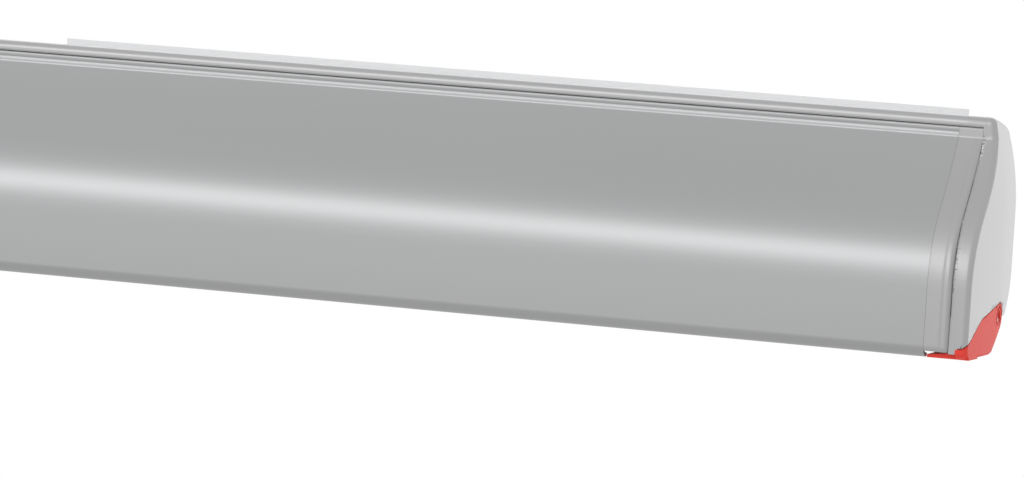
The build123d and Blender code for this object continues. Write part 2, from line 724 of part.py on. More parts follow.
def make_wall_rail(start):
    """Wall rail: back plate, top edge, hook ledge for the case and foot below it."""
    foot_top = FLOOR_DROP + SEAT_GAP
    foot_bottom = foot_top + RAIL_FOOT
    plate = block((0, RAIL_WALL), (-RAIL_TOP_RISE, foot_bottom))
    ledge_top = hook_lip_end() + SEAT_GAP
    hook_back = CASE_BACK + CASE_WALL + SEAT_GAP
    hook_front = hook_back + RAIL_LEDGE
    plate += block((0, hook_front), (ledge_top, ledge_top + RAIL_LEDGE))
    plate += block((hook_back, hook_front), (ledge_top - RAIL_HOOK_RISE, ledge_top))
    plate += block((0, RAIL_FOOT_DEPTH), (foot_top, foot_bottom))
    rail = along(plate, start, start + RAIL_LENGTH)
    inset = (RAIL_LENGTH - RAIL_SCREW_SPACING) / 2
    for x in (start + inset, start + RAIL_LENGTH - inset):
        rail -= rod_to_front(RAIL_SCREW_RADIUS, x, RAIL_SCREW_DROP, -OVERRUN, RAIL_WALL + OVERRUN)
        rail -= upright_rod(
            CLAMP_SCREW_RADIUS + SEAT_GAP, x, clamp_screw_depth(), FLOOR_DROP, CASE_HEIGHT
        )
    return rail


def make_clamp_screws():
    """Screws that clamp the floor of the case down on the feet of the wall rails."""
    head_top = FLOOR_DROP + SEAT_GAP + RAIL_FOOT
    screws = []
    for x in clamp_screw_places():
        shank = upright_rod(
            CLAMP_SCREW_RADIUS, x, clamp_screw_depth(), FLOOR_DROP - CLAMP_BITE, head_top
        )
        head = upright_rod(
            CLAMP_HEAD_RADIUS, x, clamp_screw_depth(), head_top, head_top + CLAMP_HEAD
        )
        screws.append(shank + head)
    return Compound(screws)


def make_roller_tube():
    """Tube that the canopy winds on."""
    ring = disc(TUBE_RADIUS, ROLLER_DEPTH, ROLLER_DROP)
    ring -= disc(TUBE_RADIUS - TUBE_WALL, ROLLER_DEPTH, ROLLER_DROP)
    return along(ring, -TUBE_HALF, TUBE_HALF)


def make_canopy_roll():
    """The wound canopy."""
    ring = disc(ROLL_RADIUS, ROLLER_DEPTH, ROLLER_DROP)
    ring -= disc(TUBE_RADIUS + ROLL_GAP, ROLLER_DEPTH, ROLLER_DROP)
    return along(ring, -CANOPY_WIDTH / 2, CANOPY_WIDTH / 2)


def make_roller_plug():
    """Right end plug of the roller tube, whose bore turns on the axle."""
    flange = disc(TUBE_RADIUS, ROLLER_DEPTH, ROLLER_DROP)
    spigot = disc(TUBE_RADIUS - TUBE_WALL - ROLL_GAP, ROLLER_DEPTH, ROLLER_DROP)
    plug = along(flange, TUBE_HALF, TUBE_HALF + PLUG_FLANGE)
    plug += along(spigot, TUBE_HALF - PLUG_DEPTH, TUBE_HALF)
    bore = disc(SHAFT_RADIUS + RUNNING_GAP, ROLLER_DEPTH, ROLLER_DROP)
    return plug - along(bore, TUBE_HALF - PLUG_DEPTH - OVERRUN, TUBE_HALF + PLUG_FLANGE + OVERRUN)


def make_idler_axle():
    """Short fixed axle of the roller's right end, with its head outside the end plate."""
    axle = rod_along_x(
        SHAFT_RADIUS, TUBE_HALF - PLUG_DEPTH, HALF + END_PLATE, ROLLER_DEPTH, ROLLER_DROP
    )
    return axle + shaft_head()


def shaft_head():
    """Six-sided head of a roller shaft, at the right end."""
    hexagon = Pos(*yz(ROLLER_DEPTH, ROLLER_DROP)) * RegularPolygon(SHAFT_HEAD_RADIUS, 6)
    return along(hexagon, HALF + END_PLATE, HALF + END_PLATE + SHAFT_HEAD)


def make_spring_shaft():
    """Long fixed shaft of the roller's left end, which holds the inner end of the spring."""
    inner_end = TUBE_HALF - PLUG_DEPTH - SPRING_LENGTH - ANCHOR_LENGTH * 2
    shaft = rod_along_x(SHAFT_RADIUS, inner_end, HALF + END_PLATE, ROLLER_DEPTH, ROLLER_DROP)
    return mirrored(shaft + shaft_head())


def make_spring_anchor():
    """Collar pinned on the spring shaft, which holds the fixed end of the spring."""
    start = TUBE_HALF - PLUG_DEPTH - SPRING_LENGTH - ANCHOR_LENGTH
    ring = disc(ANCHOR_RADIUS, ROLLER_DEPTH, ROLLER_DROP)
    ring -= disc(SHAFT_RADIUS + FIXED_GAP, ROLLER_DEPTH, ROLLER_DROP)
    return mirrored(along(ring, start, start + ANCHOR_LENGTH))


def make_roller_spring():
    """Long torsion spring inside the tube, which winds the canopy in."""
    start = TUBE_HALF - PLUG_DEPTH - SPRING_LENGTH
    height = SPRING_LENGTH - SPRING_WIRE - SEAT_GAP * 2
    turn = Plane(
        origin=(start + SPRING_WIRE / 2 + SEAT_GAP, -ROLLER_DEPTH, TOP_Z - ROLLER_DROP), z_dir=(1, 0, 0)
    )
    path = turn * Helix(pitch=height / SPRING_TURNS, height=height, radius=SPRING_RADIUS)
    section = Plane(origin=path @ 0, z_dir=path % 0)
    wire = sweep(section * Rectangle(SPRING_WIRE, SPRING_WIRE), path=path)
    return mirrored(wire)


def leg_tube(start, end, width, height, wall):
    """Rectangular tube of a leg stage, along the case."""
    outer = RectangleRounded(width, height, LEG_CORNER)
    inner = RectangleRounded(width - 2 * wall, height - 2 * wall, LEG_CORNER / 2)
    face = Pos(*yz(LEG_DEPTH, LEG_DROP)) * (outer - inner)
    return along(face, start, end)


def leg_stage_size(stage):
    """Width and height of a leg stage, 0 for the outer one."""
    step = 2 * (LEG_WALL + LEG_SLIDE_GAP) * stage
    return LEG_WIDTH - step, LEG_HEIGHT - step


def make_leg_outer():
    """Outer stage of the right leg, with its rounded pivot end."""
    far = LEG_PIVOT_X - LEG_LENGTH
    width, height = leg_stage_size(0)
    tube = leg_tube(far, LEG_PIVOT_X + height / 2, width, height, LEG_WALL)
    round_end = Plane(
        origin=(LEG_PIVOT_X, -LEG_DEPTH + width / 2, TOP_Z - LEG_DROP), x_dir=(1, 0, 0), z_dir=(0, -1, 0)
    )
    disc_face = round_end * Circle(height / 2)
    end_limit = extrude(disc_face, amount=width)
    body_limit = bar_along_x(
        far - OVERRUN, LEG_PIVOT_X, (0, FACE_FRONT), (LEG_DROP - height, LEG_DROP + height)
    )
    tube &= end_limit + body_limit
    web = extrude(disc_face, amount=width) & bar_along_x(
        LEG_PIVOT_X - height, LEG_PIVOT_X + height,
        (LEG_DEPTH - width / 2, LEG_DEPTH + width / 2), (0, CASE_HEIGHT),
    )
    slot = bar_along_x(
        LEG_PIVOT_X - height, LEG_PIVOT_X + height,
        (LEG_DEPTH - width / 2 + LEG_WALL * 2, LEG_DEPTH + width / 2 - LEG_WALL * 2),
        (0, CASE_HEIGHT),
    )
    tube += web - slot
    pin = rod_to_front(LEG_PIN_RADIUS + RUNNING_GAP, LEG_PIVOT_X, LEG_DROP, 0, FACE_FRONT)
    return tube - pin


def leg_stage_span(stage):
    """Inner and outer X of a telescoping leg stage, stored."""
    far = LEG_PIVOT_X - LEG_LENGTH - LEG_STAGE_STEP * stage
    near = LEG_PIVOT_X - LEG_INNER_START - LEG_STAGE_STEP * stage
    return far, near


def make_leg_stage(stage):
    """A telescoping stage of the right leg."""
    far, near = leg_stage_span(stage)
    width, height = leg_stage_size(stage)
    return leg_tube(far, near, width, height, LEG_WALL)


def make_leg_collar(stage):
    """Plastic collar on the open end of a leg stage, which guides the next one."""
    width, height = leg_stage_size(stage)
    next_width, next_height = leg_stage_size(stage + 1)
    outer = RectangleRounded(width, height, LEG_CORNER)
    hole = RectangleRounded(
        next_width + LEG_SLIDE_GAP * 2, next_height + LEG_SLIDE_GAP * 2, LEG_CORNER
    )
    end = LEG_PIVOT_X - LEG_LENGTH - LEG_STAGE_STEP * stage
    return along(Pos(*yz(LEG_DEPTH, LEG_DROP)) * (outer - hole), end - LEG_COLLAR, end)


def make_leg_foot():
    """Plastic foot pressed into the last stage of the right leg."""
    stage = 2
    far = leg_stage_span(stage)[0]
    width, height = leg_stage_size(stage)
    plug = RectangleRounded(
        width - 2 * LEG_WALL - LEG_SLIDE_GAP, height - 2 * LEG_WALL - LEG_SLIDE_GAP, LEG_CORNER / 2
    )
    pad = RectangleRounded(LEG_WIDTH, LEG_HEIGHT, LEG_CORNER)
    neck = RectangleRounded(width, height, LEG_CORNER)
    place = Pos(*yz(LEG_DEPTH, LEG_DROP))
    foot = along(place * plug, far, far + LEG_FOOT)
    foot += along(place * neck, far - LEG_FOOT + LEG_FOOT_TREAD, far)
    return foot + along(place * pad, far - LEG_FOOT, far - LEG_FOOT + LEG_FOOT_TREAD)


def make_leg_hinge_block():
    """Plastic block in the lead bar's channel that carries the right leg's pivot."""
    width, height = leg_stage_size(0)
    back = CHANNEL_BACK + BAR_WALL + HINGE_SIDE_GAP
    front = LEG_DEPTH + width / 2 + HINGE_SIDE_GAP + HINGE_CHEEK
    top = CHANNEL_CEILING + BAR_WALL + HINGE_BLOCK_TOP_GAP
    bottom = LEG_DROP + height / 2
    body = bar_along_x(HALF - HINGE_BLOCK_LENGTH, HALF - RUNNING_GAP, (back, front), (top, bottom))
    swing = height / 2 + LEG_SLIDE_GAP
    slot = bar_along_x(
        HALF - HINGE_BLOCK_LENGTH - OVERRUN,
        LEG_PIVOT_X + swing + LEG_SLIDE_GAP,
        (LEG_DEPTH - width / 2 - HINGE_SIDE_GAP, LEG_DEPTH + width / 2 + HINGE_SIDE_GAP),
        (LEG_DROP - swing, bottom + OVERRUN),
    )
    pin = rod_to_front(LEG_PIN_RADIUS + FIXED_GAP, LEG_PIVOT_X, LEG_DROP, back - OVERRUN, front + OVERRUN)
    return body - slot - pin


def make_leg_pins():
    """Pivot pins of both legs."""
    width = leg_stage_size(0)[0]
    back = CHANNEL_BACK + BAR_WALL + HINGE_SIDE_GAP * 2
    front = LEG_DEPTH + width / 2 + HINGE_CHEEK
    pin = rod_to_front(LEG_PIN_RADIUS, LEG_PIVOT_X, LEG_DROP, back, front)
    return Compound([pin, mirrored(pin)])


def bar_plan(start, end, half_width):
    """Rectangle in plan between two X values, centred on the rafter line."""
    centre = ((start + end) / 2, -RAFTER_DEPTH)
    return Pos(*centre) * Rectangle(abs(end - start), 2 * half_width)


def plan_solid(face, top_drop, bottom_drop):
    """Extrudes a plan view face upright between two drops."""
    return Pos(0, 0, TOP_Z - bottom_drop) * extrude(face, amount=bottom_drop - top_drop)


def make_rafter_outer(top_drop):
    """Outer tube of a right hand rafter at a given level, with its rounded pivot end."""
    bottom = top_drop + RAFTER_HEIGHT
    far = RAFTER_PIVOT_X - RAFTER_TUBE
    pivot = Pos(RAFTER_PIVOT_X, -RAFTER_DEPTH) * Circle(RAFTER_END_RADIUS)
    tube = plan_solid(bar_plan(far, RAFTER_PIVOT_X, RAFTER_WIDTH / 2) + pivot, top_drop, bottom)
    inner = RAFTER_WIDTH / 2 - RAFTER_WALL
    tube -= plan_solid(
        bar_plan(far - OVERRUN, RAFTER_PIVOT_X - RAFTER_END_RADIUS, inner),
        top_drop + RAFTER_WALL,
        bottom - RAFTER_WALL,
    )
    hole = Pos(RAFTER_PIVOT_X, -RAFTER_DEPTH) * Circle(RAFTER_PIN_RADIUS + RUNNING_GAP)
    return tube - plan_solid(hole, top_drop - OVERRUN, bottom + OVERRUN)


def make_rafter_inner(top_drop):
    """Sliding tube of a right hand rafter, with its plastic tip face to face at its end."""
    step = RAFTER_WALL + RAFTER_SLIDE_GAP
    bottom = top_drop + RAFTER_HEIGHT
    half = RAFTER_WIDTH / 2 - step
    near = RAFTER_PIVOT_X - RAFTER_INNER_START
    far = RAFTER_PIVOT_X - RAFTER_TUBE
    tube = plan_solid(bar_plan(far, near, half), top_drop + step, bottom - step)
    return tube - plan_solid(
        bar_plan(far - OVERRUN, near + OVERRUN, half - RAFTER_WALL),
        top_drop + step + RAFTER_WALL,
        bottom - step - RAFTER_WALL,
    )


def make_rafter_tip(top_drop):
    """Plastic tip of a right hand rafter, rounded where it meets the lead bar."""
    bottom = top_drop + RAFTER_HEIGHT
    near = RAFTER_PIVOT_X - RAFTER_TUBE - SEAT_GAP
    centre = RAFTER_PIVOT_X - RAFTER_STORED
    face = bar_plan(centre, near, RAFTER_WIDTH / 2)
    face += Pos(centre, -RAFTER_DEPTH) * Circle(RAFTER_END_RADIUS)
    tip = plan_solid(face, top_drop, bottom)
    step = RAFTER_WALL * 2 + RAFTER_SLIDE_GAP * 2
    peg = bar_plan(near - OVERRUN, near + RAFTER_TIP, RAFTER_WIDTH / 2 - step)
    return tip + plan_solid(peg, top_drop + step, bottom - step)


def make_rafter_bracket(top_drop, arm_above):
    """Arm on the right end plate that carries a rafter's pin, above or below the rafter."""
    if arm_above:
        low = top_drop - BRACKET_GAP
        high = low - BRACKET_THICKNESS
    else:
        high = top_drop + RAFTER_HEIGHT + BRACKET_GAP
        low = high + BRACKET_THICKNESS
    nose = Pos(RAFTER_PIVOT_X, -RAFTER_DEPTH) * Circle(RAFTER_END_RADIUS)
    arm = plan_solid(bar_plan(RAFTER_PIVOT_X, HALF, RAFTER_WIDTH / 2) + nose, high, low)
    hole = Pos(RAFTER_PIVOT_X, -RAFTER_DEPTH) * Circle(RAFTER_PIN_RADIUS + FIXED_GAP)
    return arm - plan_solid(hole, high - OVERRUN, low + OVERRUN)


def make_rafter_pins():
    """Pivot pins of both rafters, each through its bracket and rafter."""
    low_rafter_bottom = RAFTER_LOW_TOP_DROP + RAFTER_HEIGHT
    right = upright_rod(
        RAFTER_PIN_RADIUS,
        RAFTER_PIVOT_X,
        RAFTER_DEPTH,
        RAFTER_LOW_TOP_DROP - BRACKET_GAP - BRACKET_THICKNESS,
        low_rafter_bottom,
    )
    left = upright_rod(
        RAFTER_PIN_RADIUS,
        -RAFTER_PIVOT_X,
        RAFTER_DEPTH,
        RAFTER_TOP_DROP,
        RAFTER_TOP_DROP + RAFTER_HEIGHT + BRACKET_GAP + BRACKET_THICKNESS,
    )
    return Compound([right, left])


def make_rafter_seat(top_drop):
    """Seat on the back of the lead bar that the right hand rafter's tip pushes against."""
    bottom = top_drop + RAFTER_HEIGHT
    lip_start = SEAT_X + RAFTER_END_RADIUS + SEAT_TIP_GAP
    pad = bar_along_x(SEAT_X - SEAT_PAD_START, lip_start, (SEAT_DEPTH, CHANNEL_BACK), (top_drop, bottom))
    lip = bar_along_x(
        lip_start, lip_start + SEAT_LIP, (SEAT_DEPTH - SEAT_LIP_REACH, CHANNEL_BACK), (top_drop, bottom)
    )
    return pad + lip


def make_pieces():
    """All pieces by node name."""
    blank = make_outer_cap_blank()
    right_cap = make_outer_cap(blank)
    right_lever = make_lock_lever(blank)
    pieces = {
        "case_profile": make_rear_profile(),
        "hood_seal": make_hood_seal(),
        "outer_cap_right": right_cap,
        "outer_cap_left": mirrored(right_cap),
        "lock_lever_right": right_lever,
        "lock_lever_left": mirrored(right_lever),
        "lever_pins": make_lever_pins(),
        "end_screws": make_end_screws(),
        "cap_screws": make_cap_screws(),
        "clamp_screws": make_clamp_screws(),
        "lead_bar": make_lead_bar(),
        "canopy_keder": make_canopy_keder(),
        "canopy_flap": make_canopy_flap(),
        "canopy_roll": make_canopy_roll(),
        "roller_tube": make_roller_tube(),
        "idler_axle": make_idler_axle(),
        "spring_shaft": make_spring_shaft(),
        "spring_anchor": make_spring_anchor(),
        "roller_spring": make_roller_spring(),
        "leg_pins": make_leg_pins(),
        "rafter_pins": make_rafter_pins(),
    }
    for side, start in rail_starts().items():
        pieces[f"wall_rail_{side}"] = make_wall_rail(start)
    right_pieces = {
        "end_plate": make_end_plate(),
        "bar_cap": make_bar_cap(),
        "roller_plug": make_roller_plug(),
        "leg_hinge_block": make_leg_hinge_block(),
        "leg_outer": make_leg_outer(),
        "leg_middle": make_leg_stage(1),
        "leg_inner": make_leg_stage(2),
        "leg_outer_collar": make_leg_collar(0),
        "leg_middle_collar": make_leg_collar(1),
        "leg_foot": make_leg_foot(),
    }
    for name, piece in right_pieces.items():
        pieces[f"{name}_right"] = piece
        pieces[f"{name}_left"] = mirrored(piece)
    levels = {"right": RAFTER_LOW_TOP_DROP, "left": RAFTER_TOP_DROP}
    for side, top_drop in levels.items():
        rafter = {
            "rafter_outer": make_rafter_outer(top_drop),
            "rafter_inner": make_rafter_inner(top_drop),
            "rafter_tip": make_rafter_tip(top_drop),
            "rafter_bracket": make_rafter_bracket(top_drop, arm_above=side == "right"),
            "rafter_seat": make_rafter_seat(top_drop),
        }
        for name, piece in rafter.items():
            pieces[f"{name}_{side}"] = piece if side == "right" else mirrored(piece)
    return pieces


if __name__ == "__main__":
    os.makedirs("parts", exist_ok=True)
    for node, piece in make_pieces().items():
        export_step(piece, f"parts/{node}.step")
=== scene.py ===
"""Roll out awning in a closed cassette for a camper wall, with its finishes, cloth and studio.

Metres. +X runs along the case, -Y points away from the vehicle wall, +Z is up. A profile point is
given as a depth, out from the wall, and a drop, down from the top of the case.
"""
from __future__ import annotations

import json
import logging
import math
from dataclasses import dataclass
from enum import Enum
from typing import Callable, Iterable

import bmesh
import bpy
from mathutils import Matrix, Vector, noise

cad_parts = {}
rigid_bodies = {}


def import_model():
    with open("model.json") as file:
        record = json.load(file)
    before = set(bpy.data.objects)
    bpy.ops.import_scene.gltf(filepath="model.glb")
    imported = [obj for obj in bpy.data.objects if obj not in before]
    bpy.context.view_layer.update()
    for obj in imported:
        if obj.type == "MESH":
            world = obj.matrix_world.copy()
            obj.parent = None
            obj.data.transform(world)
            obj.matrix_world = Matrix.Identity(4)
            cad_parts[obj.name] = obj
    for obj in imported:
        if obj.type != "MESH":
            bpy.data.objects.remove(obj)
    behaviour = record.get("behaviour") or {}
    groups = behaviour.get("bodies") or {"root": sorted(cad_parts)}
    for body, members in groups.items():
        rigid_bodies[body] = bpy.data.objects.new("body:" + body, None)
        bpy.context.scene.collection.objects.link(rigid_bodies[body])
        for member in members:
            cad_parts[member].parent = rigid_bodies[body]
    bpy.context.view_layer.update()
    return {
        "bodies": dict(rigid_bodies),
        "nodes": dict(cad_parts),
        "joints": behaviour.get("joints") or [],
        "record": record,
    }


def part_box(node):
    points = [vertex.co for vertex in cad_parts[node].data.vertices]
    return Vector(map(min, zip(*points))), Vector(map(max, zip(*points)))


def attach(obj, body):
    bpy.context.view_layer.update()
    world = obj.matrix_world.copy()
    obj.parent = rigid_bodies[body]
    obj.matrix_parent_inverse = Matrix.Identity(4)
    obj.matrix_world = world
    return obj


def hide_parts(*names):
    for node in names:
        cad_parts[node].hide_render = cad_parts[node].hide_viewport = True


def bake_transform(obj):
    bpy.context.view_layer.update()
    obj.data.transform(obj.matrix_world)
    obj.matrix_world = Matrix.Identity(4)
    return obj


Piece = bpy.types.Object
Socket = bpy.types.NodeSocket
Pair = tuple[float, float]
Triple = tuple[float, float, float]

LOG = logging.getLogger("awning")
MM = 0.001
TINY = 1e-5
WELD = TINY / 2
MERGE = TINY / 10
SMOOTH_ANGLE = math.radians(30)
CLOTH_ANGLE = math.radians(60)
BEVEL_ANGLE = math.radians(50)
FLAT_ANGLE = math.radians(0.5)
ARC_STEP = math.radians(5)
ARC_STEPS_LEAST = 3
ROUND_STEPS = 2
LOOKS_ALONG = 0.9
LEVEL_DIGITS = 6
NOISE_DETAIL = 3.0
MOTTLE_ENDS = (0.3, 0.7)
SMOOTHEST = 0.02
GRAIN_DEPTH = 0.1 * MM
WHITE = (1, 1, 1, 1)


class Side(Enum):
    """The two ends of the awning."""

    RIGHT = 1
    LEFT = -1

    @property
    def word(self) -> str:
        """The side's name as the pieces have it."""
        return self.name.lower()


class Part(Enum):
    """What a selection in edit mode picks."""

    POINTS = "VERT"
    FACES = "FACE"


class Bench:
    """The work table: edit mode tools that act on one new mesh."""

    @staticmethod
    def clear() -> None:
        """Leaves edit mode and deselects every object."""
        if bpy.context.object and bpy.context.object.mode == "EDIT":
            bpy.ops.object.mode_set(mode="OBJECT")
        bpy.ops.object.select_all(action="DESELECT")

    @staticmethod
    def hold(piece: Piece) -> None:
        """Selects one piece alone, for the operators that follow."""
        Bench.clear()
        piece.select_set(True)
        bpy.context.view_layer.objects.active = piece

    @staticmethod
    def name(name: str) -> Piece:
        """Names the new primitive and puts its place into its mesh."""
        piece = bpy.context.object
        piece.name = name
        piece.data.name = name
        bpy.ops.object.transform_apply(location=True, rotation=True, scale=True)
        return piece

    @staticmethod
    def edit(piece: Piece) -> None:
        """Opens a piece in edit mode with all its points selected."""
        Bench.hold(piece)
        bpy.ops.object.mode_set(mode="EDIT")
        bpy.ops.mesh.select_mode(type=Part.POINTS.value)
        bpy.ops.mesh.select_all(action="SELECT")

    @staticmethod
    def pick(piece: Piece, part: Part, test: Callable[[object], bool]) -> int:
        """Selects what passes a test, in edit mode, and deselects the rest.

        Args:
            piece: The piece that is open.
            part: What to look at.
            test: Says of a point or face whether it is wanted.

        Returns:
            How many were selected.
        """
        bpy.ops.mesh.select_mode(type=part.value)
        bpy.ops.mesh.select_all(action="DESELECT")
        mesh = bmesh.from_edit_mesh(piece.data)
        mesh.normal_update()
        found = mesh.verts if part is Part.POINTS else mesh.faces
        chosen = [item for item in found if test(item)]
        for item in chosen:
            item.select_set(True)
        mesh.select_flush_mode()
        bmesh.update_edit_mesh(piece.data)
        return len(chosen)

    @staticmethod
    def push(offset: Iterable[float]) -> None:
        """Extrudes what is selected by an offset along X, Y and Z."""
        bpy.ops.mesh.extrude_region_move(TRANSFORM_OT_translate={"value": tuple(offset)})

    @staticmethod
    def close() -> None:
        """Merges doubled points, turns the faces outwards and leaves edit mode."""
        bpy.ops.mesh.select_all(action="SELECT")
        bpy.ops.mesh.remove_doubles(threshold=MERGE)
        bpy.ops.mesh.normals_make_consistent(inside=False)
        bpy.ops.object.mode_set(mode="OBJECT")

    @staticmethod
    def modify(piece: Piece, kind: str, **settings: object) -> bpy.types.Modifier:
        """Adds a modifier to a piece.

        Args:
            piece: The piece.
            kind: The modifier's type.
            settings: Its settings.

        Returns:
            The modifier.
        """
        modifier = piece.modifiers.new(kind.lower(), kind)
        for setting, value in settings.items():
            setattr(modifier, setting, value)
        return modifier

    @staticmethod
    def apply(piece: Piece, kind: str, **settings: object) -> None:
        """Adds a modifier as modify does and applies it to the mesh."""
        Bench.hold(piece)
        modifier = Bench.modify(piece, kind, **settings)
        bpy.ops.object.modifier_apply(modifier=modifier.name)

    @staticmethod
    def soften(piece: Piece, width: float, segments: int = ROUND_STEPS) -> None:
        """Rounds the sharp edges of a piece and shades its curves smooth.

        Args:
            piece: The piece to finish.
            width: Width of the rounding, or 0 for none.
            segments: Faces across the rounding.
        """
        Bench.hold(piece)
        if width:
            Bench.apply(
                piece, "BEVEL", width=width, segments=segments, limit_method="ANGLE",
                angle_limit=SMOOTH_ANGLE, use_clamp_overlap=True, miter_outer="MITER_ARC",
            )
        bpy.ops.object.shade_smooth_by_angle(angle=SMOOTH_ANGLE)

    @staticmethod
    def mirrored(piece: Piece, name: str) -> Piece:
        """Copies a right hand piece to the left end of the awning, with its own mesh."""
        Bench.hold(piece)
        bpy.ops.object.duplicate(linked=False)
        copy = bpy.context.object
        copy.name = name
        copy.data.name = name
        copy.data.transform(Matrix.Scale(-1, 4, (1, 0, 0)))
        Bench.edit(copy)
        bpy.ops.mesh.normals_make_consistent(inside=False)
        bpy.ops.object.mode_set(mode="OBJECT")
        return copy


class Pen:
    """Draws the outline of a section, edge by edge, from one point in the profile plane."""

    def __init__(self, name: str, x: float, start: Pair) -> None:
        """Sets the pen down.

        Args:
            name: Name of the piece that is drawn.
            x: Where the section stands along the case.
            start: First point, as depth and drop.
        """
        self.x = x
        self.top = case_top()
        self.place = Vector(start)
        self.heading = Vector((0.0, 1.0))
        Bench.clear()
        bpy.ops.mesh.primitive_plane_add(size=MM, location=self.to_space(self.place))
        self.piece = Bench.name(name)
        Bench.edit(self.piece)
        bpy.ops.mesh.merge(type="CENTER")

    def to_space(self, point: Vector) -> Vector:
        """A profile point in space."""
        return Vector((self.x, -point[0], self.top - point[1]))

    def line(self, depth: float, drop: float) -> Pen:
        """Draws a straight edge to a depth and drop, and returns the pen for the next stroke."""
        target = Vector((depth, drop))
        Bench.push(self.to_space(target) - self.to_space(self.place))
        self.heading = (target - self.place).normalized()
        self.place = target
        return self

    def run(self, length: float) -> Pen:
        """Draws a straight edge on in the same direction."""
        target = self.place + self.heading * length
        return self.line(target.x, target.y)

    def around(self, centre: Pair, turn: float) -> Pen:
        """Draws an arc about a centre.

        Args:
            centre: Centre, as depth and drop.
            turn: Angle, positive from depth towards drop.

        Returns:
            The pen, for the next stroke.
        """
        middle = Vector(centre)
        steps = max(ARC_STEPS_LEAST, math.ceil(abs(turn) / ARC_STEP))
        bpy.ops.mesh.spin(
            steps=steps, angle=-turn, center=self.to_space(middle), axis=(1, 0, 0), dupli=False
        )
        arm = self.place - middle
        cosine, sine = math.cos(turn), math.sin(turn)
        end = Vector((arm.x * cosine - arm.y * sine, arm.x * sine + arm.y * cosine))
        sign = math.copysign(1, turn)
        self.heading = Vector((-end.y, end.x)).normalized() * sign
        self.place = middle + end
        return self

    def finish(self, length: float) -> Piece:
        """Closes the outline, fills it and pulls it out along the case by a length."""
        bpy.ops.mesh.select_all(action="SELECT")
        bpy.ops.mesh.edge_face_add()
        Bench.push((length, 0, 0))
        Bench.close()
        return self.piece


@dataclass(frozen=True)
class Wave:
    """The wavy front of the awning, from the top edge of the front bar down round its heel."""

    front: float = 47.3 * MM
    start_drop: float = 4.2 * MM
    land: float = 3.8 * MM
    hollow: float = 12.0 * MM
    crease: float = 2.0 * MM
    crease_turn: float = math.radians(30)
    sweep: float = 135.6 * MM
    angle: float = math.radians(41)
    slope: float = 28.0 * MM
    belly: float = 46.0 * MM
    heel: float = 5.0 * MM
    height: float = 95.0 * MM
    valley: float = 0.6 * MM
    taper: float = 7.0 * MM

    @property
    def land_end(self) -> float:
        """Drop where the flat land ends."""
        return self.start_drop + self.land

    @property
    def reach(self) -> float:
        """Depth of the foremost stretch."""
        bends = (self.hollow + self.belly) * (1 - math.cos(self.angle))
        return self.front + bends + self.slope * math.sin(self.angle)

    @property
    def belly_end(self) -> float:
        """Drop where the belly runs out into the upright side."""
        bends = (self.hollow + self.belly) * math.sin(self.angle)
        return self.land_end + bends + self.slope * math.cos(self.angle)

    def down(self, pen: Pen, heel_turn: float) -> None:
        """Draws the outer face downwards from the end of the land.

        Args:
            pen: The pen, at the end of the land.
            heel_turn: How far it goes round the heel.
        """
        pen.around((self.front + self.crease, self.land_end), -self.crease_turn)
        side = Vector((pen.heading.y, -pen.heading.x)) * self.sweep
        pen.around(tuple(pen.place + side), self.crease_turn - self.angle)
        belly_top = Vector((math.cos(self.angle), -math.sin(self.angle))) * self.belly
        pen.line(self.reach - self.belly + belly_top.x, self.belly_end + belly_top.y)
        pen.around((self.reach - self.belly, self.belly_end), self.angle)
        pen.line(self.reach, self.height - self.heel)
        pen.around((self.reach - self.heel, self.height - self.heel), heel_turn)

    def depth(self, drop: float) -> float:
        """Depth of the plain face at a drop."""
        below = drop - self.land_end
        hollow_end = self.hollow * math.sin(self.angle)
        if below <= 0:
            return self.front
        if below < hollow_end:
            return self.front + self.hollow - math.sqrt(self.hollow**2 - below**2)
        if below < hollow_end + self.slope * math.cos(self.angle):
            bend = self.hollow * (1 - math.cos(self.angle))
            return self.front + bend + (below - hollow_end) * math.tan(self.angle)
        if drop < self.belly_end:
            return self.reach - self.belly + math.sqrt(self.belly**2 - (self.belly_end - drop) ** 2)
        round_in = max(0.0, min(self.heel, drop - self.height + self.heel))
        return self.reach - self.heel + math.sqrt(self.heel**2 - round_in**2)

    def swell(self, drop: float) -> float:
        """How far the long sweep stands in front of the plain hollow and slope at a drop."""
        below = drop - self.land_end
        sweep_top = self.crease * math.sin(self.crease_turn)
        slant = math.sin(self.crease_turn) + (below - sweep_top) / self.sweep
        if below <= 0 or slant >= math.sin(self.angle):
            return 0.0
        if below < sweep_top:
            ahead = self.crease - math.sqrt(self.crease**2 - below**2)
        else:
            ahead = self.crease * (1 - math.cos(self.crease_turn))
            ahead += self.sweep * (math.cos(self.crease_turn) - math.sqrt(1 - slant**2))
        return ahead + self.front - self.depth(drop)


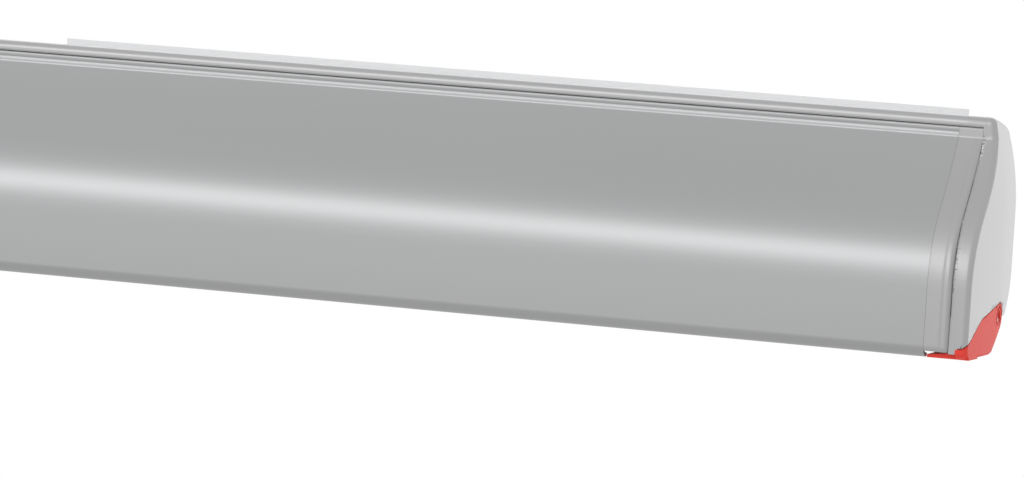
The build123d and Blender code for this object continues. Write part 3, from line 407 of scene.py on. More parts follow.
@dataclass
class FrontBar:
    """The extruded front bar with its canopy groove and leg channel, and its two end caps."""

    kit: FinishKit
    wave: Wave = Wave()
    wall: float = 1.6 * MM
    edge_radius: float = 1.1 * MM
    groove_drop: float = 6.6 * MM
    groove_radius: float = 0.8 * MM
    groove_lift: float = 0.70 * MM
    keder_bore: float = 3.1 * MM
    keder_wall: float = 1.5 * MM
    keder_slot: float = 1.6 * MM
    channel_back: float = 49.9 * MM
    ceiling: float = 68.0 * MM
    lip_depth: float = 73.5 * MM
    cap_width: float = 10.0 * MM
    cap_shoulder_drop: float = 16.0 * MM
    cap_shoulder_depth: float = 41.5 * MM
    cap_flank_drop: float = 25.6 * MM
    cap_bottom: float = 92.3 * MM
    cap_lip: float = 94.7 * MM
    ridge_width: float = 4.8 * MM
    ridge_steps: int = 14
    ridge_proud: float = 0.8 * MM
    ridge_foot: float = 0.5
    ridge_flank: float = 0.62
    web_front: float = 62.8 * MM
    edge_round: float = 0.15 * MM

    def __post_init__(self) -> None:
        """Reads the bar's place from the frame."""
        low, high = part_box("lead_bar")
        self.left, self.right = low.x, high.x
        self.top = case_top()
        self.back = -high.y

    def start(self, name: str, x: float) -> Pen:
        """Starts a section at its back and draws the top with its rounded front edge.

        Args:
            name: Name of the piece.
            x: Where the section stands.

        Returns:
            The pen, at the edge's lower end.
        """
        pen = Pen(name, x, (self.back, self.wave.start_drop))
        round_from = self.wave.front - self.edge_radius
        pen.line(round_from, self.wave.start_drop)
        return pen.around((round_from, self.wave.start_drop + self.edge_radius), math.pi / 2)

    def draw_channel(self, pen: Pen) -> None:
        """Draws the heel's inside, the leg channel and the inner face, up to the end of the land.

        Args:
            pen: The pen, at the lower end of the heel.
        """
        wave = self.wave
        inner = wave.reach - self.wall
        floor = wave.height - self.wall
        pen.line(self.lip_depth, wave.height).line(self.lip_depth, floor)
        pen.line(wave.reach - wave.heel, floor)
        pen.around((wave.reach - wave.heel, wave.height - wave.heel), -math.pi / 2)
        pen.line(inner, self.ceiling + self.wall)
        pen.line(self.channel_back + self.wall, self.ceiling + self.wall)
        pen.line(self.channel_back + self.wall, floor).line(self.channel_back, floor)
        pen.line(self.channel_back, self.ceiling).line(inner, self.ceiling)
        pen.line(inner, wave.belly_end)
        pen.around((wave.reach - wave.belly, wave.belly_end), -wave.angle)
        pen.run(wave.slope)
        pen.around((wave.front + wave.hollow, wave.land_end), wave.angle)

    def draw_groove(self, pen: Pen) -> None:
        """Draws the canopy groove under the flange, and back to where the outline began.

        Args:
            pen: The pen, on the inner face at the end of the land.
        """
        outer = self.keder_bore + self.keder_wall
        centre = (self.back + outer, self.wave.start_drop + self.wall / 2 + outer)
        under = self.wave.start_drop + self.wall
        rise = math.asin((centre[1] - under) / outer)
        outer_slot = math.asin(self.keder_slot / 2 / outer)
        bore_slot = math.asin(self.keder_slot / 2 / self.keder_bore)
        pen.line(self.wave.front - self.wall, under)
        pen.line(centre[0] + outer * math.cos(rise), under)
        pen.around(centre, math.pi - outer_slot + rise)
        mouth = centre[0] - self.keder_bore * math.cos(bore_slot)
        pen.line(mouth, centre[1] + self.keder_slot / 2)
        pen.around(centre, -2 * (math.pi - bore_slot))
        pen.line(centre[0] - outer * math.cos(outer_slot), centre[1] - self.keder_slot / 2)
        pen.around(centre, rise - outer_slot)
        pen.line(self.back, under)

    def make_extrusion(self) -> Piece:
        """Models the front extrusion as one closed section."""
        pen = self.start("front_profile", self.left)
        front = self.wave.front
        half = math.acos(self.groove_lift / self.groove_radius)
        pen.line(front, self.groove_drop - self.groove_radius * math.sin(half))
        pen.around((front + self.groove_lift, self.groove_drop), -2 * half)
        pen.line(front, self.wave.land_end)
        self.wave.down(pen, math.pi / 2)
        self.draw_channel(pen)
        self.draw_groove(pen)
        piece = pen.finish(self.right - self.left)
        Bench.soften(piece, self.edge_round, 1)
        return piece

    def make_cap(self) -> Piece:
        """Models the right end cap with its rounded ridge."""
        wave = self.wave
        pen = self.start("front_cap_right", self.right)
        pen.line(wave.front, wave.land_end)
        notch = self.cap_bottom - (wave.height - wave.heel)
        wave.down(pen, math.asin(notch / wave.heel))
        pen.line(self.web_front, self.cap_bottom)
        pen.line(self.web_front, self.cap_lip).line(self.channel_back, self.cap_lip)
        pen.line(self.channel_back, self.cap_flank_drop)
        pen.line(self.cap_shoulder_depth, self.cap_shoulder_drop)
        pen.line(self.back, self.cap_shoulder_drop)
        cap = pen.finish(self.cap_width - self.ridge_width)
        self.raise_ridge(cap)
        Bench.soften(cap, self.edge_round)
        return cap

    def raise_ridge(self, cap: Piece) -> None:
        """Adds the cap's outer band in narrow steps and swells the rounded ridge on it."""
        place = self.right + self.cap_width - self.ridge_width
        highest, lowest = self.top - self.wave.land_end, self.top - self.cap_bottom
        Bench.edit(cap)
        Bench.pick(cap, Part.FACES, lambda face: face.normal.x > LOOKS_ALONG)
        steps = range(self.ridge_steps + 1)
        shares = [math.sin(math.pi / 2 * step / self.ridge_steps) for step in steps]
        for before, share in zip(shares, shares[1:]):
            Bench.push(((share - before) * self.ridge_width, 0, 0))
        levels = {round(point.co.z, LEVEL_DIGITS) for point in bmesh.from_edit_mesh(cap.data).verts}
        for share in shares[1:]:
            across = place + share * self.ridge_width
            rise = self.ridge_height(share)
            for level in sorted(height for height in levels if lowest - TINY <= height <= highest):
                face_depth = self.wave.depth(self.top - level)

                def on_ridge(point: bmesh.types.BMVert) -> bool:
                    """Whether a point is on this step of the ridge, at this level of its face."""
                    here = abs(point.co.x - across) < TINY and abs(point.co.z - level) < TINY
                    return here and -point.co.y > face_depth - MM

                if Bench.pick(cap, Part.POINTS, on_ridge):
                    fade = smooth_step((highest - level) / self.wave.taper)
                    bpy.ops.transform.translate(value=(0, -rise * fade, 0))
        Bench.close()

    def ridge_height(self, share: float) -> float:
        """How far the ridge stands proud, at a share of its width from its inner foot."""
        if share < self.ridge_foot:
            return self.ridge_proud * math.sin(share / self.ridge_foot * math.pi / 2) ** 2
        if share < self.ridge_flank:
            return self.ridge_proud
        flank = (share - self.ridge_flank) / (1 - self.ridge_flank)
        fall = self.ridge_proud + self.wave.valley
        return self.ridge_proud - fall * flank**2

    def build(self) -> None:
        """Makes the bar and its caps, dresses them and sets them on the front bar's body."""
        bar = self.make_extrusion()
        self.kit.dress(bar, "face_metal")
        place_piece(bar, "front_bar", "lead_bar")
        cap = self.make_cap()
        left = Bench.mirrored(cap, "front_cap_left")
        for piece, side in ((cap, Side.RIGHT), (left, Side.LEFT)):
            self.kit.dress(piece, "cap_plastic")
            place_piece(piece, "front_bar", f"bar_cap_{side.word}")


@dataclass
class HoodSeal:
    """The seal in the hood's lip, with the soft lip that closes the gap above the front bar. The
    lip's pale grey is partly the rubber's colour and partly painted light, lifting the gap's deep
    shade to a soft grey line.
    """

    kit: FinishKit
    lip_front: float = 47.15 * MM
    lip_top: float = 3.72 * MM
    lip_bottom: float = 4.18 * MM
    lip_end: float = 910.05 * MM

    def build(self) -> None:
        """Makes the seal and sets it on the case."""
        low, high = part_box("hood_seal")
        top = case_top()
        pen = Pen("seal_body", low.x, (-high.y, self.lip_bottom))
        pen.line(-high.y, top - high.z).line(-low.y, top - high.z).line(-low.y, self.lip_bottom)
        body = pen.finish(high.x - low.x)
        rounding = (self.lip_bottom - self.lip_top) / 2
        # Painted light: this grey lip fills the gap where deep shade falls, so the gap reads as a
        # soft grey line.
        pen = Pen("front_seal", -self.lip_end, (TINY - low.y, self.lip_bottom))
        pen.line(TINY - low.y, self.lip_top).line(self.lip_front - rounding, self.lip_top)
        pen.around((self.lip_front - rounding, self.lip_top + rounding), math.pi)
        seal = pen.finish(2 * self.lip_end)
        Bench.hold(seal)
        body.select_set(True)
        bpy.ops.object.join()
        Bench.soften(seal, 0)
        self.kit.dress(seal, "seal_rubber")
        place_piece(seal, "case", "hood_seal")


@dataclass
class MouldedEnds:
    """The moulded ends of the case and their lock levers, pressed to the real crowned shape."""

    kit: FinishKit
    frame: dict
    wave: Wave = Wave()
    dome_radius: float = 200.0 * MM
    dome_depth: float = 38.0 * MM
    dome_drop: float = 42.0 * MM
    crown: float = 918.5 * MM
    crown_depth: float = 40.0 * MM
    rear_radius: float = 157.0 * MM
    front_radius: float = 800.0 * MM
    shoulder_radius: float = 115.0 * MM
    shoulder_drop: float = 40.0 * MM
    shoulder_depth: float = 88.0 * MM
    shoulder_lean: float = 1.1
    lever_floor: float = 913.4 * MM
    lever_back: float = 912.9 * MM
    lever_slack: float = 0.1 * MM
    rim: float = 4.0 * MM
    front_root: float = 911.0 * MM
    rear_root: float = 904.0 * MM
    root_from: float = 20.0 * MM
    root_to: float = 36.0 * MM
    groove_fill: float = 0.92 * MM
    tongue_root: float = 911.0 * MM
    tongue_tip: float = 902.0 * MM
    tongue_stretch: float = 1.3 * MM
    cut_spacing: float = 3.5 * MM
    snap: float = 0.12 * MM
    fill_from: float = 44.0 * MM
    fill_width: float = 4.0 * MM
    valley_skin: float = 2.0 * MM
    lip: float = 3.7 * MM
    valley_cuts: tuple[float, ...] = (
        911.3 * MM, 911.7 * MM, 912.2 * MM, 912.9 * MM, 913.8 * MM, 915.0 * MM,
    )
    toe_press: float = 2.2 * MM
    toe_from: float = 58.0 * MM
    toe_to: float = 70.0 * MM
    toe_top: float = 80.0 * MM
    toe_middle: float = 89.0 * MM
    toe_bottom: float = 92.7 * MM
    toe_corner: float = 915.0 * MM
    toe_corner_width: float = 3.0 * MM
    toe_corner_press: float = 1.2 * MM

    def __post_init__(self) -> None:
        """Reads the ends' place from the frame."""
        self.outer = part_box("outer_cap_right")[1].x
        self.top = case_top()

    def crowned(self, depth: float, drop: float, away: float) -> float:
        """How far out a point of the plain end lies on the crowned end.

        Args:
            depth: Its depth.
            drop: Its drop.
            away: How far out it lies on the plain end.

        Returns:
            The new distance from the awning's middle.
        """
        flat = self.dome_radius**2 - (depth - self.dome_depth) ** 2 - (drop - self.dome_drop) ** 2
        plain = self.outer - self.dome_radius + math.sqrt(flat)
        bend = self.rear_radius if depth < self.crown_depth else self.front_radius
        crown = self.crown - (depth - self.crown_depth) ** 2 / (2 * bend)
        shoulder = max(0.0, self.shoulder_drop - drop) ** 2 / (2 * self.shoulder_radius)
        crown -= shoulder * (self.shoulder_lean - depth / self.shoulder_depth)
        share = smooth_step((depth - self.root_from) / (self.root_to - self.root_from))
        root = self.rear_root + (self.front_root - self.rear_root) * share
        if away > plain - self.snap:
            return crown
        if away > plain - self.rim:
            return away - (plain - crown)
        if away > root:
            return root + (away - root) * (crown - self.rim - root) / (plain - self.rim - root)
        return away

    def lowered(self, depth: float, drop: float, away: float) -> float:
        """How far a point near the lever's toe moves down.

        Args:
            depth: Its depth.
            drop: Its drop.
            away: How far out it lies on the crowned end.

        Returns:
            The distance.
        """
        if away <= self.front_root - MM:
            return 0.0
        share = smooth_step((depth - self.toe_from) / (self.toe_to - self.toe_from))
        if drop < self.toe_middle:
            share *= smooth_step((drop - self.toe_top) / (self.toe_middle - self.toe_top))
        else:
            share *= smooth_step((self.toe_bottom - drop) / (self.toe_bottom - self.toe_middle))
        corner = 1 - smooth_step((away - self.toe_corner) / self.toe_corner_width)
        return (self.toe_press + self.toe_corner_press * corner) * share

    def moulded(self, point: Vector) -> Vector:
        """The place that a point of the plain end takes on the crowned end."""
        depth, drop = -point.y, self.top - point.z
        away = self.crowned(depth, drop, abs(point.x))
        inward = 1 - (abs(point.x) - self.front_root) / self.fill_width
        if depth > self.fill_from and TINY < inward < 1 + TINY and drop > self.lip - TINY:
            away -= self.groove_fill * inward
            skin = 1 - smooth_step((self.wave.depth(drop) - depth) / self.valley_skin)
            skin *= smooth_step((drop - self.wave.land_end) / self.wave.taper)
            depth -= self.wave.valley * skin * inward**2
        drop += self.lowered(depth, drop, away)
        if -point.y > self.fill_from:
            depth += self.wave.swell(self.top - point.z)
        return Vector((math.copysign(away, point.x), -depth, self.top - drop))

    def press(self, node: str, name: str) -> Piece:
        """Copies a plain piece of the end, joins its surface and moulds it.

        Args:
            node: The plain piece.
            name: The new piece's name.
        """
        plain = self.frame["nodes"][node]
        piece = bpy.data.objects.new(name, plain.data.copy())
        piece.data.name = name
        bpy.context.scene.collection.objects.link(piece)
        Bench.edit(piece)
        bpy.ops.mesh.remove_doubles(threshold=WELD)
        self.cut_up()
        bpy.ops.object.mode_set(mode="OBJECT")
        is_lever = node.startswith("lock_lever")
        for point in piece.data.vertices:
            away = abs(point.co.x)
            point.co = self.moulded(point.co)
            if is_lever and abs(away - self.lever_floor) < self.lever_slack:
                point.co.x = math.copysign(self.lever_back, point.co.x)
            if is_lever and away < self.tongue_root:
                share = (self.tongue_root - away) / (self.tongue_root - self.tongue_tip)
                point.co.x -= math.copysign(self.tongue_stretch * share, point.co.x)
        Bench.hold(piece)
        bpy.ops.object.shade_smooth_by_angle(angle=SMOOTH_ANGLE)
        Bench.apply(piece, "WEIGHTED_NORMAL", keep_sharp=True)
        return piece

    def cut_up(self) -> None:
        """Cuts the open mesh along a net of planes, so that it can follow the crown closely."""
        cuts: list[tuple[Vector, Vector]] = []
        for facing, start in ((Vector((0, 1, 0)), 0.0), (Vector((0, 0, 1)), self.top)):
            place = self.cut_spacing
            while place < self.wave.height:
                cuts.append((facing * (start - place), facing))
                place += self.cut_spacing
        along = Vector((1, 0, 0))
        for place in self.valley_cuts:
            cuts += [(along * side.value * place, along) for side in Side]
        for level, facing in cuts:
            bpy.ops.mesh.select_all(action="SELECT")
            bpy.ops.mesh.bisect(plane_co=level, plane_no=facing)
        bpy.ops.mesh.select_all(action="SELECT")
        bpy.ops.mesh.remove_doubles(threshold=TINY)
        bpy.ops.mesh.dissolve_degenerate(threshold=WELD)

    def build(self) -> None:
        """Makes both ends and sets them on their bodies."""
        for side in Side:
            cap = self.press(f"outer_cap_{side.word}", f"case_end_{side.word}")
            self.kit.dress(cap, "cap_plastic")
            place_piece(cap, "case", f"outer_cap_{side.word}")
            lever = self.press(f"lock_lever_{side.word}", f"lever_{side.word}")
            self.kit.dress(lever, "lever_plastic")
            place_piece(lever, f"{side.word}_lock", f"lock_lever_{side.word}")
        pins = self.press("lever_pins", "lever_pivots")
        self.kit.dress(pins, "bright_steel")
        place_piece(pins, "case", "lever_pins")


@dataclass
class Canopy:
    """The canopy: its wound length on the roller and the free stretch up to the front bar."""

    kit: FinishKit
    run_out: float
    cloth: float = 0.28 * MM
    pitch: float = 0.30 * MM
    turn_steps: int = 40
    rows: int = 72
    columns: int = 48
    hug: float = math.radians(-35)
    hug_rows: int = 6
    lift: float = 0.45 * MM
    ripple: float = 0.5 * MM
    broad_ripple: float = 3.0
    fine_ripple: float = 11.0
    fine_share: float = 0.4
    fine_row: float = 5.0
    belly_depth: float = 5.0 * MM
    mouth_rise: float = 0.6
    mouth_reach: float = 1.6 * MM
    seam_reach: float = 0.25 * MM
    mouth_share: float = 0.9

    def __post_init__(self) -> None:
        """Reads the roll's and the groove's places from the frame."""
        low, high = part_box("canopy_roll")
        self.left, self.width = low.x, high.x - low.x
        self.centre, self.outer = round_bar("canopy_roll")
        self.inner = round_bar("roller_tube")[1]
        self.rod, self.rod_radius = round_bar("canopy_keder")

    def grid(self, name: str, columns: int, rows: int, length: float) -> Piece:
        """Adds a flat sheet, one metre square, whose own map is in metres at real size.

        Args:
            name: The piece's name.
            columns: Faces across the width.
            rows: Faces along the length.
            length: Length of the cloth.
        """
        Bench.clear()
        bpy.ops.mesh.primitive_grid_add(x_subdivisions=columns, y_subdivisions=rows, size=1)
        piece = Bench.name(name)
        for corner in piece.data.uv_layers[0].data:
            corner.uv = (corner.uv[0] * self.width, corner.uv[1] * length)
        return piece

    def thicken(self, piece: Piece) -> None:
        """Gives a sheet its thickness and smooth shading."""
        Bench.apply(piece, "SOLIDIFY", thickness=self.cloth, offset=0)
        bpy.ops.object.shade_smooth_by_angle(angle=CLOTH_ANGLE)

    def make_roll(self) -> Piece:
        """Winds the canopy on its tube as one spiral sheet."""
        start = self.inner + self.cloth
        turns = (self.outer - self.cloth - start) / self.pitch
        length = math.pi * turns * (start + self.outer - self.cloth)
        piece = self.grid("canopy_wound", 2, round(turns * self.turn_steps), length)
        for point in piece.data.vertices:
            share = point.co.y + 0.5
            angle = share * turns * math.tau
            radius = start + turns * self.pitch * share
            across = (point.co.x + 0.5) * self.width + self.left
            point.co = (
                across,
                self.centre.y + radius * math.sin(angle),
                self.centre.z + radius * math.cos(angle),
            )
        self.thicken(piece)
        LOG.info("wound cloth: %.2f m long in %.1f turns", length, turns)
        return piece

    def make_flap(self) -> Piece:
        """Makes the free stretch, with its rows spaced by the inverse of a smooth step."""
        radius = self.outer + self.lift
        leave = self.centre + Vector((0, 0, radius))
        mouth = self.rod + Vector((0, self.rod_radius + self.mouth_reach, 0))
        arrive = self.rod + Vector((0, self.rod_radius + self.seam_reach, 0))
        piece = self.grid("canopy_free", self.columns, self.hug_rows + self.rows, self.run_out)
        for point in piece.data.vertices:
            row = round((point.co.y + 0.5) * (self.hug_rows + self.rows))
            across = (point.co.x + 0.5) * self.width + self.left
            if row < self.hug_rows:
                angle = self.hug * (1 - row / self.hug_rows)
                place = self.centre + radius * Vector((0, -math.sin(angle), math.cos(angle)))
            else:
                share = unsmooth((row - self.hug_rows) / self.rows)
                place = self.free_line(leave, mouth, arrive, share)
                ripple = self.ripple * (1 + self.ripple_at(across))
                place.z -= ripple * math.sin(math.pi * share) ** 2
            point.co = (across, place.y, place.z)
        self.thicken(piece)
        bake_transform(piece)
        return piece

    def ripple_at(self, across: float) -> float:
        """How strongly the free stretch ripples at a place across the canopy."""
        broad = noise.noise(Vector((across * self.broad_ripple, 0, 0)))
        fine = noise.noise(Vector((across * self.fine_ripple, self.fine_row, 0)))
        return broad + self.fine_share * fine

    def free_line(self, leave: Vector, mouth: Vector, arrive: Vector, share: float) -> Vector:
        """A point of the free stretch: off the roll forwards, up, and back into the groove.

        Args:
            leave: Where it leaves the roll.
            mouth: The groove's mouth.
            arrive: Where it is sewn to the rod.
            share: How far along it is, from 0 to 1.

        Returns:
            The point, with no place along the case.
        """
        if share > self.mouth_share:
            return mouth.lerp(arrive, (share - self.mouth_share) / (1 - self.mouth_share))
        part = share / self.mouth_share
        first = leave + Vector((0, -self.belly_depth, 0))
        second = mouth + Vector((0, self.belly_depth * self.mouth_rise, -self.belly_depth))
        weights = ((1 - part) ** 3, 3 * part * (1 - part) ** 2, 3 * part**2 * (1 - part), part**3)
        corners = (leave, first, second, mouth)
        return sum((corner * weight for corner, weight in zip(corners, weights)), Vector())

    def build(self) -> None:
        """Makes both stretches, sets the wound one on its body and hides the frame's flap in place
        of the free one.
        """
        roll = self.make_roll()
        self.kit.dress(roll, "canopy_cloth")
        place_piece(roll, "roller", "canopy_roll")
        flap = self.make_flap()
        self.kit.dress(flap, "canopy_cloth")
        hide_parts("canopy_flap")


def case_top() -> float:
    """Height of the top of the case, from which drops are measured."""
    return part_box("lead_bar")[1].z + Wave.start_drop


def round_bar(node: str) -> tuple[Vector, float]:
    """Centre and radius of a round node that lies along X, seen from its end."""
    low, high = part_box(node)
    return Vector((0, (low.y + high.y) / 2, (low.z + high.z) / 2)), (high.z - low.z) / 2


def smooth_step(share: float) -> float:
    """A share from 0 to 1 with soft ends."""
    inside = min(1.0, max(0.0, share))
    return inside * inside * (3 - 2 * inside)


def unsmooth(share: float) -> float:
    """The place whose smooth step is a given share, so that rows spread evenly in a blend."""
    return 0.5 - math.sin(math.asin(1 - 2 * share) / 3)


def place_piece(piece: Piece, body: str, node: str) -> None:
    """Sets a finished piece on its body, in place of the node that it stands for.

    Args:
        piece: The piece.
        body: The body that it moves with.
        node: The node that it stands for.
    """
    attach(piece, body)
    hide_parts(node)
    LOG.info("%s: %d faces on %s", piece.name, len(piece.data.polygons), body)


class Wiring:
    """The nodes of a material or of the world, and the links between them."""

    def __init__(self, owner: bpy.types.Material | bpy.types.World) -> None:
        """Takes up the nodes of a material or of the world."""
        owner.use_nodes = True
        self.nodes = owner.node_tree.nodes
        self.links = owner.node_tree.links

    def feed(self, node: bpy.types.Node, sources: dict[str | int, object]) -> bpy.types.Node:
        """Sets a node's inputs.

        Args:
            node: The node.
            sources: For each input, its plain value or the output that feeds it.
        """
        for entry, source in sources.items():
            if isinstance(source, Socket):
                self.links.new(source, node.inputs[entry])
            else:
                node.inputs[entry].default_value = source
        return node

    def add(self, kind: str, sources: dict[str | int, object]) -> bpy.types.Node:
        """Adds a node.

        Args:
            kind: Its type, without the leading ShaderNode.
            sources: Its inputs, as feed takes them.
        """
        return self.feed(self.nodes.new("ShaderNode" + kind), sources)

    def reckon(self, operation: str, *terms: object) -> Socket:
        """Reckons with two terms.

        Args:
            operation: What is done with them.
            terms: Plain values or outputs.

        Returns:
            The result.
        """
        node = self.add("Math", dict(enumerate(terms)))
        node.operation = operation
        return node.outputs["Value"]

    def noise(self, where: Socket, scale: Triple) -> Socket:
        """Adds a noise pattern at a scale for each axis.

        Args:
            where: Coordinates that the pattern follows.
            scale: Scale along X, Y and Z.

        Returns:
            The pattern's value.
        """
        moved = self.add("Mapping", {"Vector": where, "Scale": scale}).outputs["Vector"]
        pattern = self.add("TexNoise", {"Vector": moved, "Scale": 1.0, "Detail": NOISE_DETAIL})
        return pattern.outputs["Fac"]

    def looked_at(self) -> Socket:
        """Tells rays that look at a surface from rays that gather light.

        Returns:
            1 for camera, glossy and transmission rays, 0 for others.
        """
        rays = self.add("LightPath", {}).outputs
        looks = self.reckon("MAXIMUM", rays["Is Camera Ray"], rays["Is Glossy Ray"])
        return self.reckon("MAXIMUM", looks, rays["Is Transmission Ray"])


@dataclass(frozen=True)
class Finish:
    """A surface finish, with its colour, gloss and the fine relief that it shows close up."""

    base: Triple
    rough: float
    metal: float = 0.0
    mottle: float = 0.03
    mottle_scale: float = 6.0
    rough_spread: float = 0.05
    grain_scale: Triple = (900.0, 900.0, 900.0)
    grain: float = 0.02
    specular: float = 0.5

    def material(self, name: str) -> bpy.types.Material:
        """Builds the finish as a material."""
        material = bpy.data.materials.new(name)
        wiring = Wiring(material)
        where = wiring.add("TexCoord", {}).outputs["Object"]
        cloud = wiring.noise(where, (self.mottle_scale,) * 3)
        tint = wiring.add("ValToRGB", {"Fac": cloud})
        factors = (1 - self.mottle, 1 + self.mottle)
        for element, position, factor in zip(tint.color_ramp.elements, MOTTLE_ENDS, factors):
            element.color = (*(min(1.0, part * factor) for part in self.base), 1)
            element.position = position
        gloss = wiring.add("MapRange", {
            "Value": cloud,
            "To Min": max(SMOOTHEST, self.rough - self.rough_spread),
            "To Max": min(1.0, self.rough + self.rough_spread),
        })
        wiring.feed(wiring.nodes["Principled BSDF"], {
            "Metallic": self.metal,
            "Specular IOR Level": self.specular,
            "Base Color": tint.outputs["Color"],
            "Roughness": gloss.outputs["Result"],
            "Normal": self.relief(wiring, where),
        })
        return material

    def relief(self, wiring: Wiring, where: Socket) -> Socket:
        """Adds the fine grain of the surface.

        Args:
            wiring: The material's nodes.
            where: Coordinates that the grain follows.

        Returns:
            The bent normal.
        """
        height = wiring.noise(where, self.grain_scale)
        bump = {"Strength": self.grain, "Distance": GRAIN_DEPTH, "Height": height}
        return wiring.add("Bump", bump).outputs["Normal"]


@dataclass(frozen=True)
class Cloth(Finish):
    """Coated woven cloth, whose threads follow the sheet's own map in metres."""

    thread: float = 0.9 * MM
    thread_height: float = 0.25
    unevenness: float = 0.4

    def relief(self, wiring: Wiring, where: Socket) -> Socket:
        """Adds crossing threads to the surface.

        Args:
            wiring: The material's nodes.
            where: Not used, because the threads follow the sheet's own map.

        Returns:
            The bent normal.
        """
        sheet = wiring.add("UVMap", {}).outputs["UV"]
        scale = 1 / self.thread / math.tau * 2
        threads = []
        for direction in ("X", "Y"):
            thread = {"Vector": sheet, "Scale": scale, "Distortion": self.unevenness}
            wave = wiring.add("TexWave", thread)
            wave.bands_direction = direction
            threads.append(wave.outputs["Fac"])
        height = wiring.reckon("MULTIPLY", *threads)
        distance = self.thread * self.thread_height
        bump = {"Strength": self.grain, "Distance": distance, "Height": height}
        return wiring.add("Bump", bump).outputs["Normal"]


FINISHES: dict[str, Finish] = {
    "face_metal": Finish(
        (0.372, 0.374, 0.378), 0.36, 1.0, mottle=0.008, rough_spread=0.015, grain=0.03
    ),
    "case_metal": Finish(
        (0.40, 0.40, 0.405), 0.38, 1.0, mottle=0.01, rough_spread=0.02, grain=0.03
    ),
    "cap_plastic": Finish(
        (0.40, 0.40, 0.405), 0.40, 0.85, mottle=0.012, rough_spread=0.02, grain=0.06
    ),
    "lever_plastic": Finish((0.92, 0.078, 0.058), 0.42, mottle=0.02, grain=0.01, specular=0.1),
    "rail_metal": Finish(
        (0.76, 0.765, 0.77), 0.34, 1.0, mottle=0.01, rough_spread=0.02, grain=0.05,
        grain_scale=(20, 1800, 1800),
    ),
    "leg_metal": Finish((0.66, 0.665, 0.68), 0.33, 1.0, grain=0.08, grain_scale=(15, 2200, 2200)),
    "tube_steel": Finish((0.56, 0.57, 0.585), 0.36, 1.0, mottle=0.12, mottle_scale=70, grain=0.03),
    "bright_steel": Finish((0.62, 0.62, 0.63), 0.26, 1.0, mottle=0.05, mottle_scale=90),
    "spring_steel": Finish((0.25, 0.25, 0.26), 0.30, 1.0, mottle=0.10, mottle_scale=120),
    "black_plastic": Finish((0.045, 0.045, 0.048), 0.45, mottle=0.08, mottle_scale=40, grain=0.12),
    "keder_plastic": Finish((0.78, 0.78, 0.77), 0.40, mottle=0.03, grain=0.05),
    # Pale grey rubber: on the seal's gap lip this is partly painted light, lightening the gap's
    # deep shade.
    "seal_rubber": Finish((0.52, 0.52, 0.525), 0.60, mottle=0.10, mottle_scale=30, grain=0.15),
    "canopy_cloth": Cloth(
        (0.42, 0.43, 0.445), 0.75, mottle=0.035, mottle_scale=4, grain=0.35, specular=0.3
    ),
}


class FinishKit:
    """All finishes as materials, and the way they are put on pieces."""

    edge_rounds = {
        "leg_foot": 0.5 * MM, "leg_hinge_block": 0.3 * MM, "rafter_tip": 0.4 * MM,
        "rafter_seat": 0.4 * MM, "rafter_bracket": 0.4 * MM, "leg_outer_collar": 0.3 * MM,
        "leg_middle_collar": 0.3 * MM, "roller_plug": 0.3 * MM, "end_plate": 0.2 * MM,
    }

    def __init__(self) -> None:
        """Builds every material once."""
        self.materials = {slot: finish.material(slot) for slot, finish in FINISHES.items()}

    def dress(self, piece: Piece, slot: str) -> None:
        """Gives a new piece its finish.

        Args:
            piece: The piece.
            slot: The record's name for the finish.
        """
        piece.data.materials.clear()
        piece.data.materials.append(self.materials[slot])

    def dress_frame(self, frame: dict) -> None:
        """Gives every node of the frame its finish and smooth curves, and the listed nodes rounded
        edges.
        """
        slots = {part["node"]: part["material_slot"] for part in frame["record"]["subparts"]}
        for node, piece in frame["nodes"].items():
            piece.data.materials.clear()
            piece.data.materials.append(self.materials[slots[node]])
            for face in piece.data.polygons:
                face.use_smooth = True
            Bench.modify(piece, "WELD", merge_threshold=WELD)
            Bench.modify(piece, "DECIMATE", decimate_type="DISSOLVE", angle_limit=FLAT_ANGLE)
            for start, width in self.edge_rounds.items():
                if node.startswith(start):
                    Bench.modify(
                        piece, "BEVEL", width=width, segments=ROUND_STEPS, limit_method="ANGLE",
                        angle_limit=BEVEL_ANGLE,
                    )
            Bench.modify(piece, "EDGE_SPLIT", split_angle=SMOOTH_ANGLE)
            Bench.modify(piece, "WEIGHTED_NORMAL", keep_sharp=True)


@dataclass(frozen=True)
class Softbox:
    """A rectangular studio lamp."""

    name: str
    place: Triple
    aim: Triple
    width: float
    height: float
    radiance: float

    def build(self) -> None:
        """Adds the lamp, with its power worked out from how bright its face looks."""
        lamp = bpy.data.lights.new(self.name, "AREA")
        lamp.shape = "RECTANGLE"
        lamp.size, lamp.size_y = self.width, self.height
        lamp.energy = self.radiance * math.pi * self.width * self.height
        holder = bpy.data.objects.new(self.name, lamp)
        bpy.context.scene.collection.objects.link(holder)
        holder.location = self.place
        direction = Vector(self.aim) - Vector(self.place)
        holder.rotation_euler = direction.to_track_quat("-Z", "Y").to_euler()


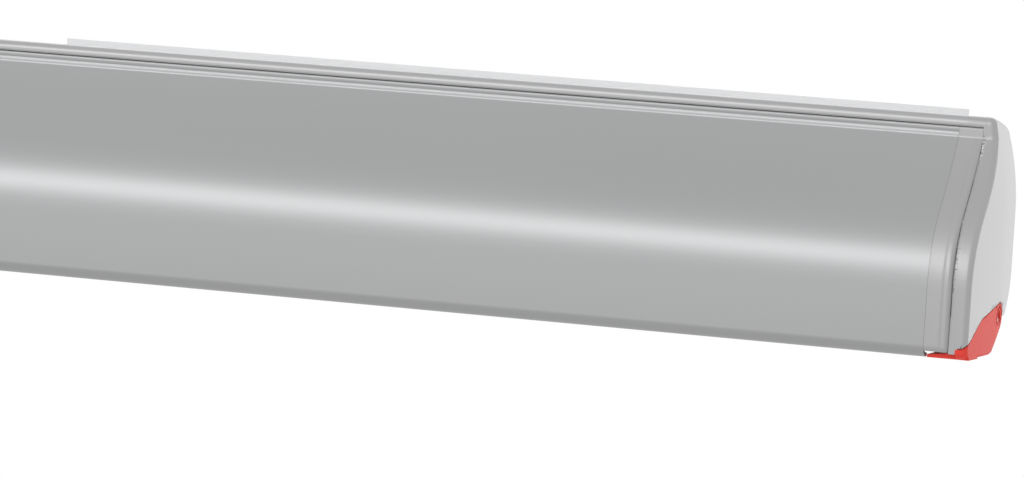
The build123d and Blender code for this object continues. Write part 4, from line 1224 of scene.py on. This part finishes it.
@dataclass
class Studio:
    """Floor, white surroundings, lamps and camera."""

    image_width: int = 1024
    focal_pixels: float = 5896.1
    azimuth: float = math.radians(19.086)
    elevation: float = math.radians(4.279)
    roll: float = math.radians(3.569)
    distance: float = 2.4251
    aim: Triple = (0.7119, -0.040, -0.0505)
    floor_size: float = 12.0
    leg_clearance: float = 0.012
    floor_drop: float = 2.107
    floor_glow: float = 0.7
    floor_tone: float = 0.92
    floor_rough: float = 0.8
    fill: float = 0.62
    boxes: tuple[Softbox, ...] = (
        Softbox("front_softbox", (-0.28, -2.68, 1.09), (0.7, -0.08, -0.04), 4.0, 0.66, 2.3),
        Softbox("low_softbox", (-0.35, -2.85, -0.30), (0.7, -0.08, -0.05), 4.0, 1.3, 0.16),
        Softbox("rear_softbox", (1.75, 2.1, 0.10), (0.92, -0.04, -0.04), 1.6, 1.6, 0.7),
        Softbox("top_softbox", (-0.4, 2.2, 1.7), (0.7, -0.04, 0.0), 5.0, 1.3, 1.3),
    )

    def build_camera(self) -> None:
        """Adds the camera at the photograph's viewing angle."""
        cosine, sine = math.cos(self.elevation), math.sin(self.elevation)
        back = Vector((math.sin(self.azimuth) * cosine, -math.cos(self.azimuth) * cosine, sine))
        level = (-back).cross(Vector((0, 0, 1))).normalized()
        upright = level.cross(-back)
        right = level * math.cos(self.roll) + upright * math.sin(self.roll)
        up = upright * math.cos(self.roll) - level * math.sin(self.roll)
        camera = bpy.data.cameras.new("camera")
        camera.lens = self.focal_pixels * camera.sensor_width / self.image_width
        holder = bpy.data.objects.new("camera", camera)
        bpy.context.scene.collection.objects.link(holder)
        turn = Matrix((right, up, back)).transposed().to_4x4()
        holder.matrix_world = Matrix.Translation(Vector(self.aim) + back * self.distance) @ turn
        bpy.context.scene.camera = holder

    def build_world(self) -> None:
        """Makes the surroundings white to look at and softer as light."""
        world = bpy.data.worlds.new("studio")
        bpy.context.scene.world = world
        wiring = Wiring(world)
        light = wiring.nodes["Background"]
        wiring.feed(light, {"Color": WHITE, "Strength": self.fill})
        seen = wiring.add("Background", {"Color": WHITE})
        mix = wiring.add("MixShader", {
            "Fac": wiring.looked_at(),
            1: light.outputs["Background"],
            2: seen.outputs["Background"],
        })
        wiring.feed(wiring.nodes["World Output"], {"Surface": mix.outputs["Shader"]})

    def build_floor(self) -> None:
        """Lays the pale floor below the unfolded legs."""
        Bench.clear()
        height = -self.floor_drop - self.leg_clearance
        bpy.ops.mesh.primitive_plane_add(size=self.floor_size, location=(0, 0, height))
        floor = Bench.name("floor")
        paint = bpy.data.materials.new("floor_paint")
        wiring = Wiring(paint)
        surface = wiring.nodes["Principled BSDF"]
        wiring.feed(surface, {
            "Base Color": (self.floor_tone, self.floor_tone, self.floor_tone, 1),
            "Roughness": self.floor_rough,
        })
        mix = wiring.add("MixShader", {
            "Fac": wiring.reckon("MULTIPLY", wiring.looked_at(), self.floor_glow),
            1: surface.outputs["BSDF"],
            2: wiring.add("Emission", {}).outputs["Emission"],
        })
        wiring.feed(wiring.nodes["Material Output"], {"Surface": mix.outputs["Shader"]})
        floor.data.materials.append(paint)

    def build(self) -> None:
        """Builds the whole studio."""
        bpy.context.scene.view_settings.view_transform = "Standard"
        self.build_world()
        self.build_floor()
        for box in self.boxes:
            box.build()
        self.build_camera()


def corners(box: tuple[Vector, Vector]) -> list[list[float]]:
    """The corners of a box as plain numbers."""
    return [list(corner) for corner in box]


def main() -> None:
    """Builds the dressed awning around its frame."""
    logging.basicConfig(level=logging.INFO, format="%(message)s")
    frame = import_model()
    run_out = next(joint["range_m"][1] for joint in frame["joints"] if joint["name"] == "bar_slide")
    kit = FinishKit()
    kit.dress_frame(frame)
    for assembly in (FrontBar(kit), HoodSeal(kit), MouldedEnds(kit, frame), Canopy(kit, run_out)):
        assembly.build()
    Studio().build()


if __name__ == "__main__":
    main()
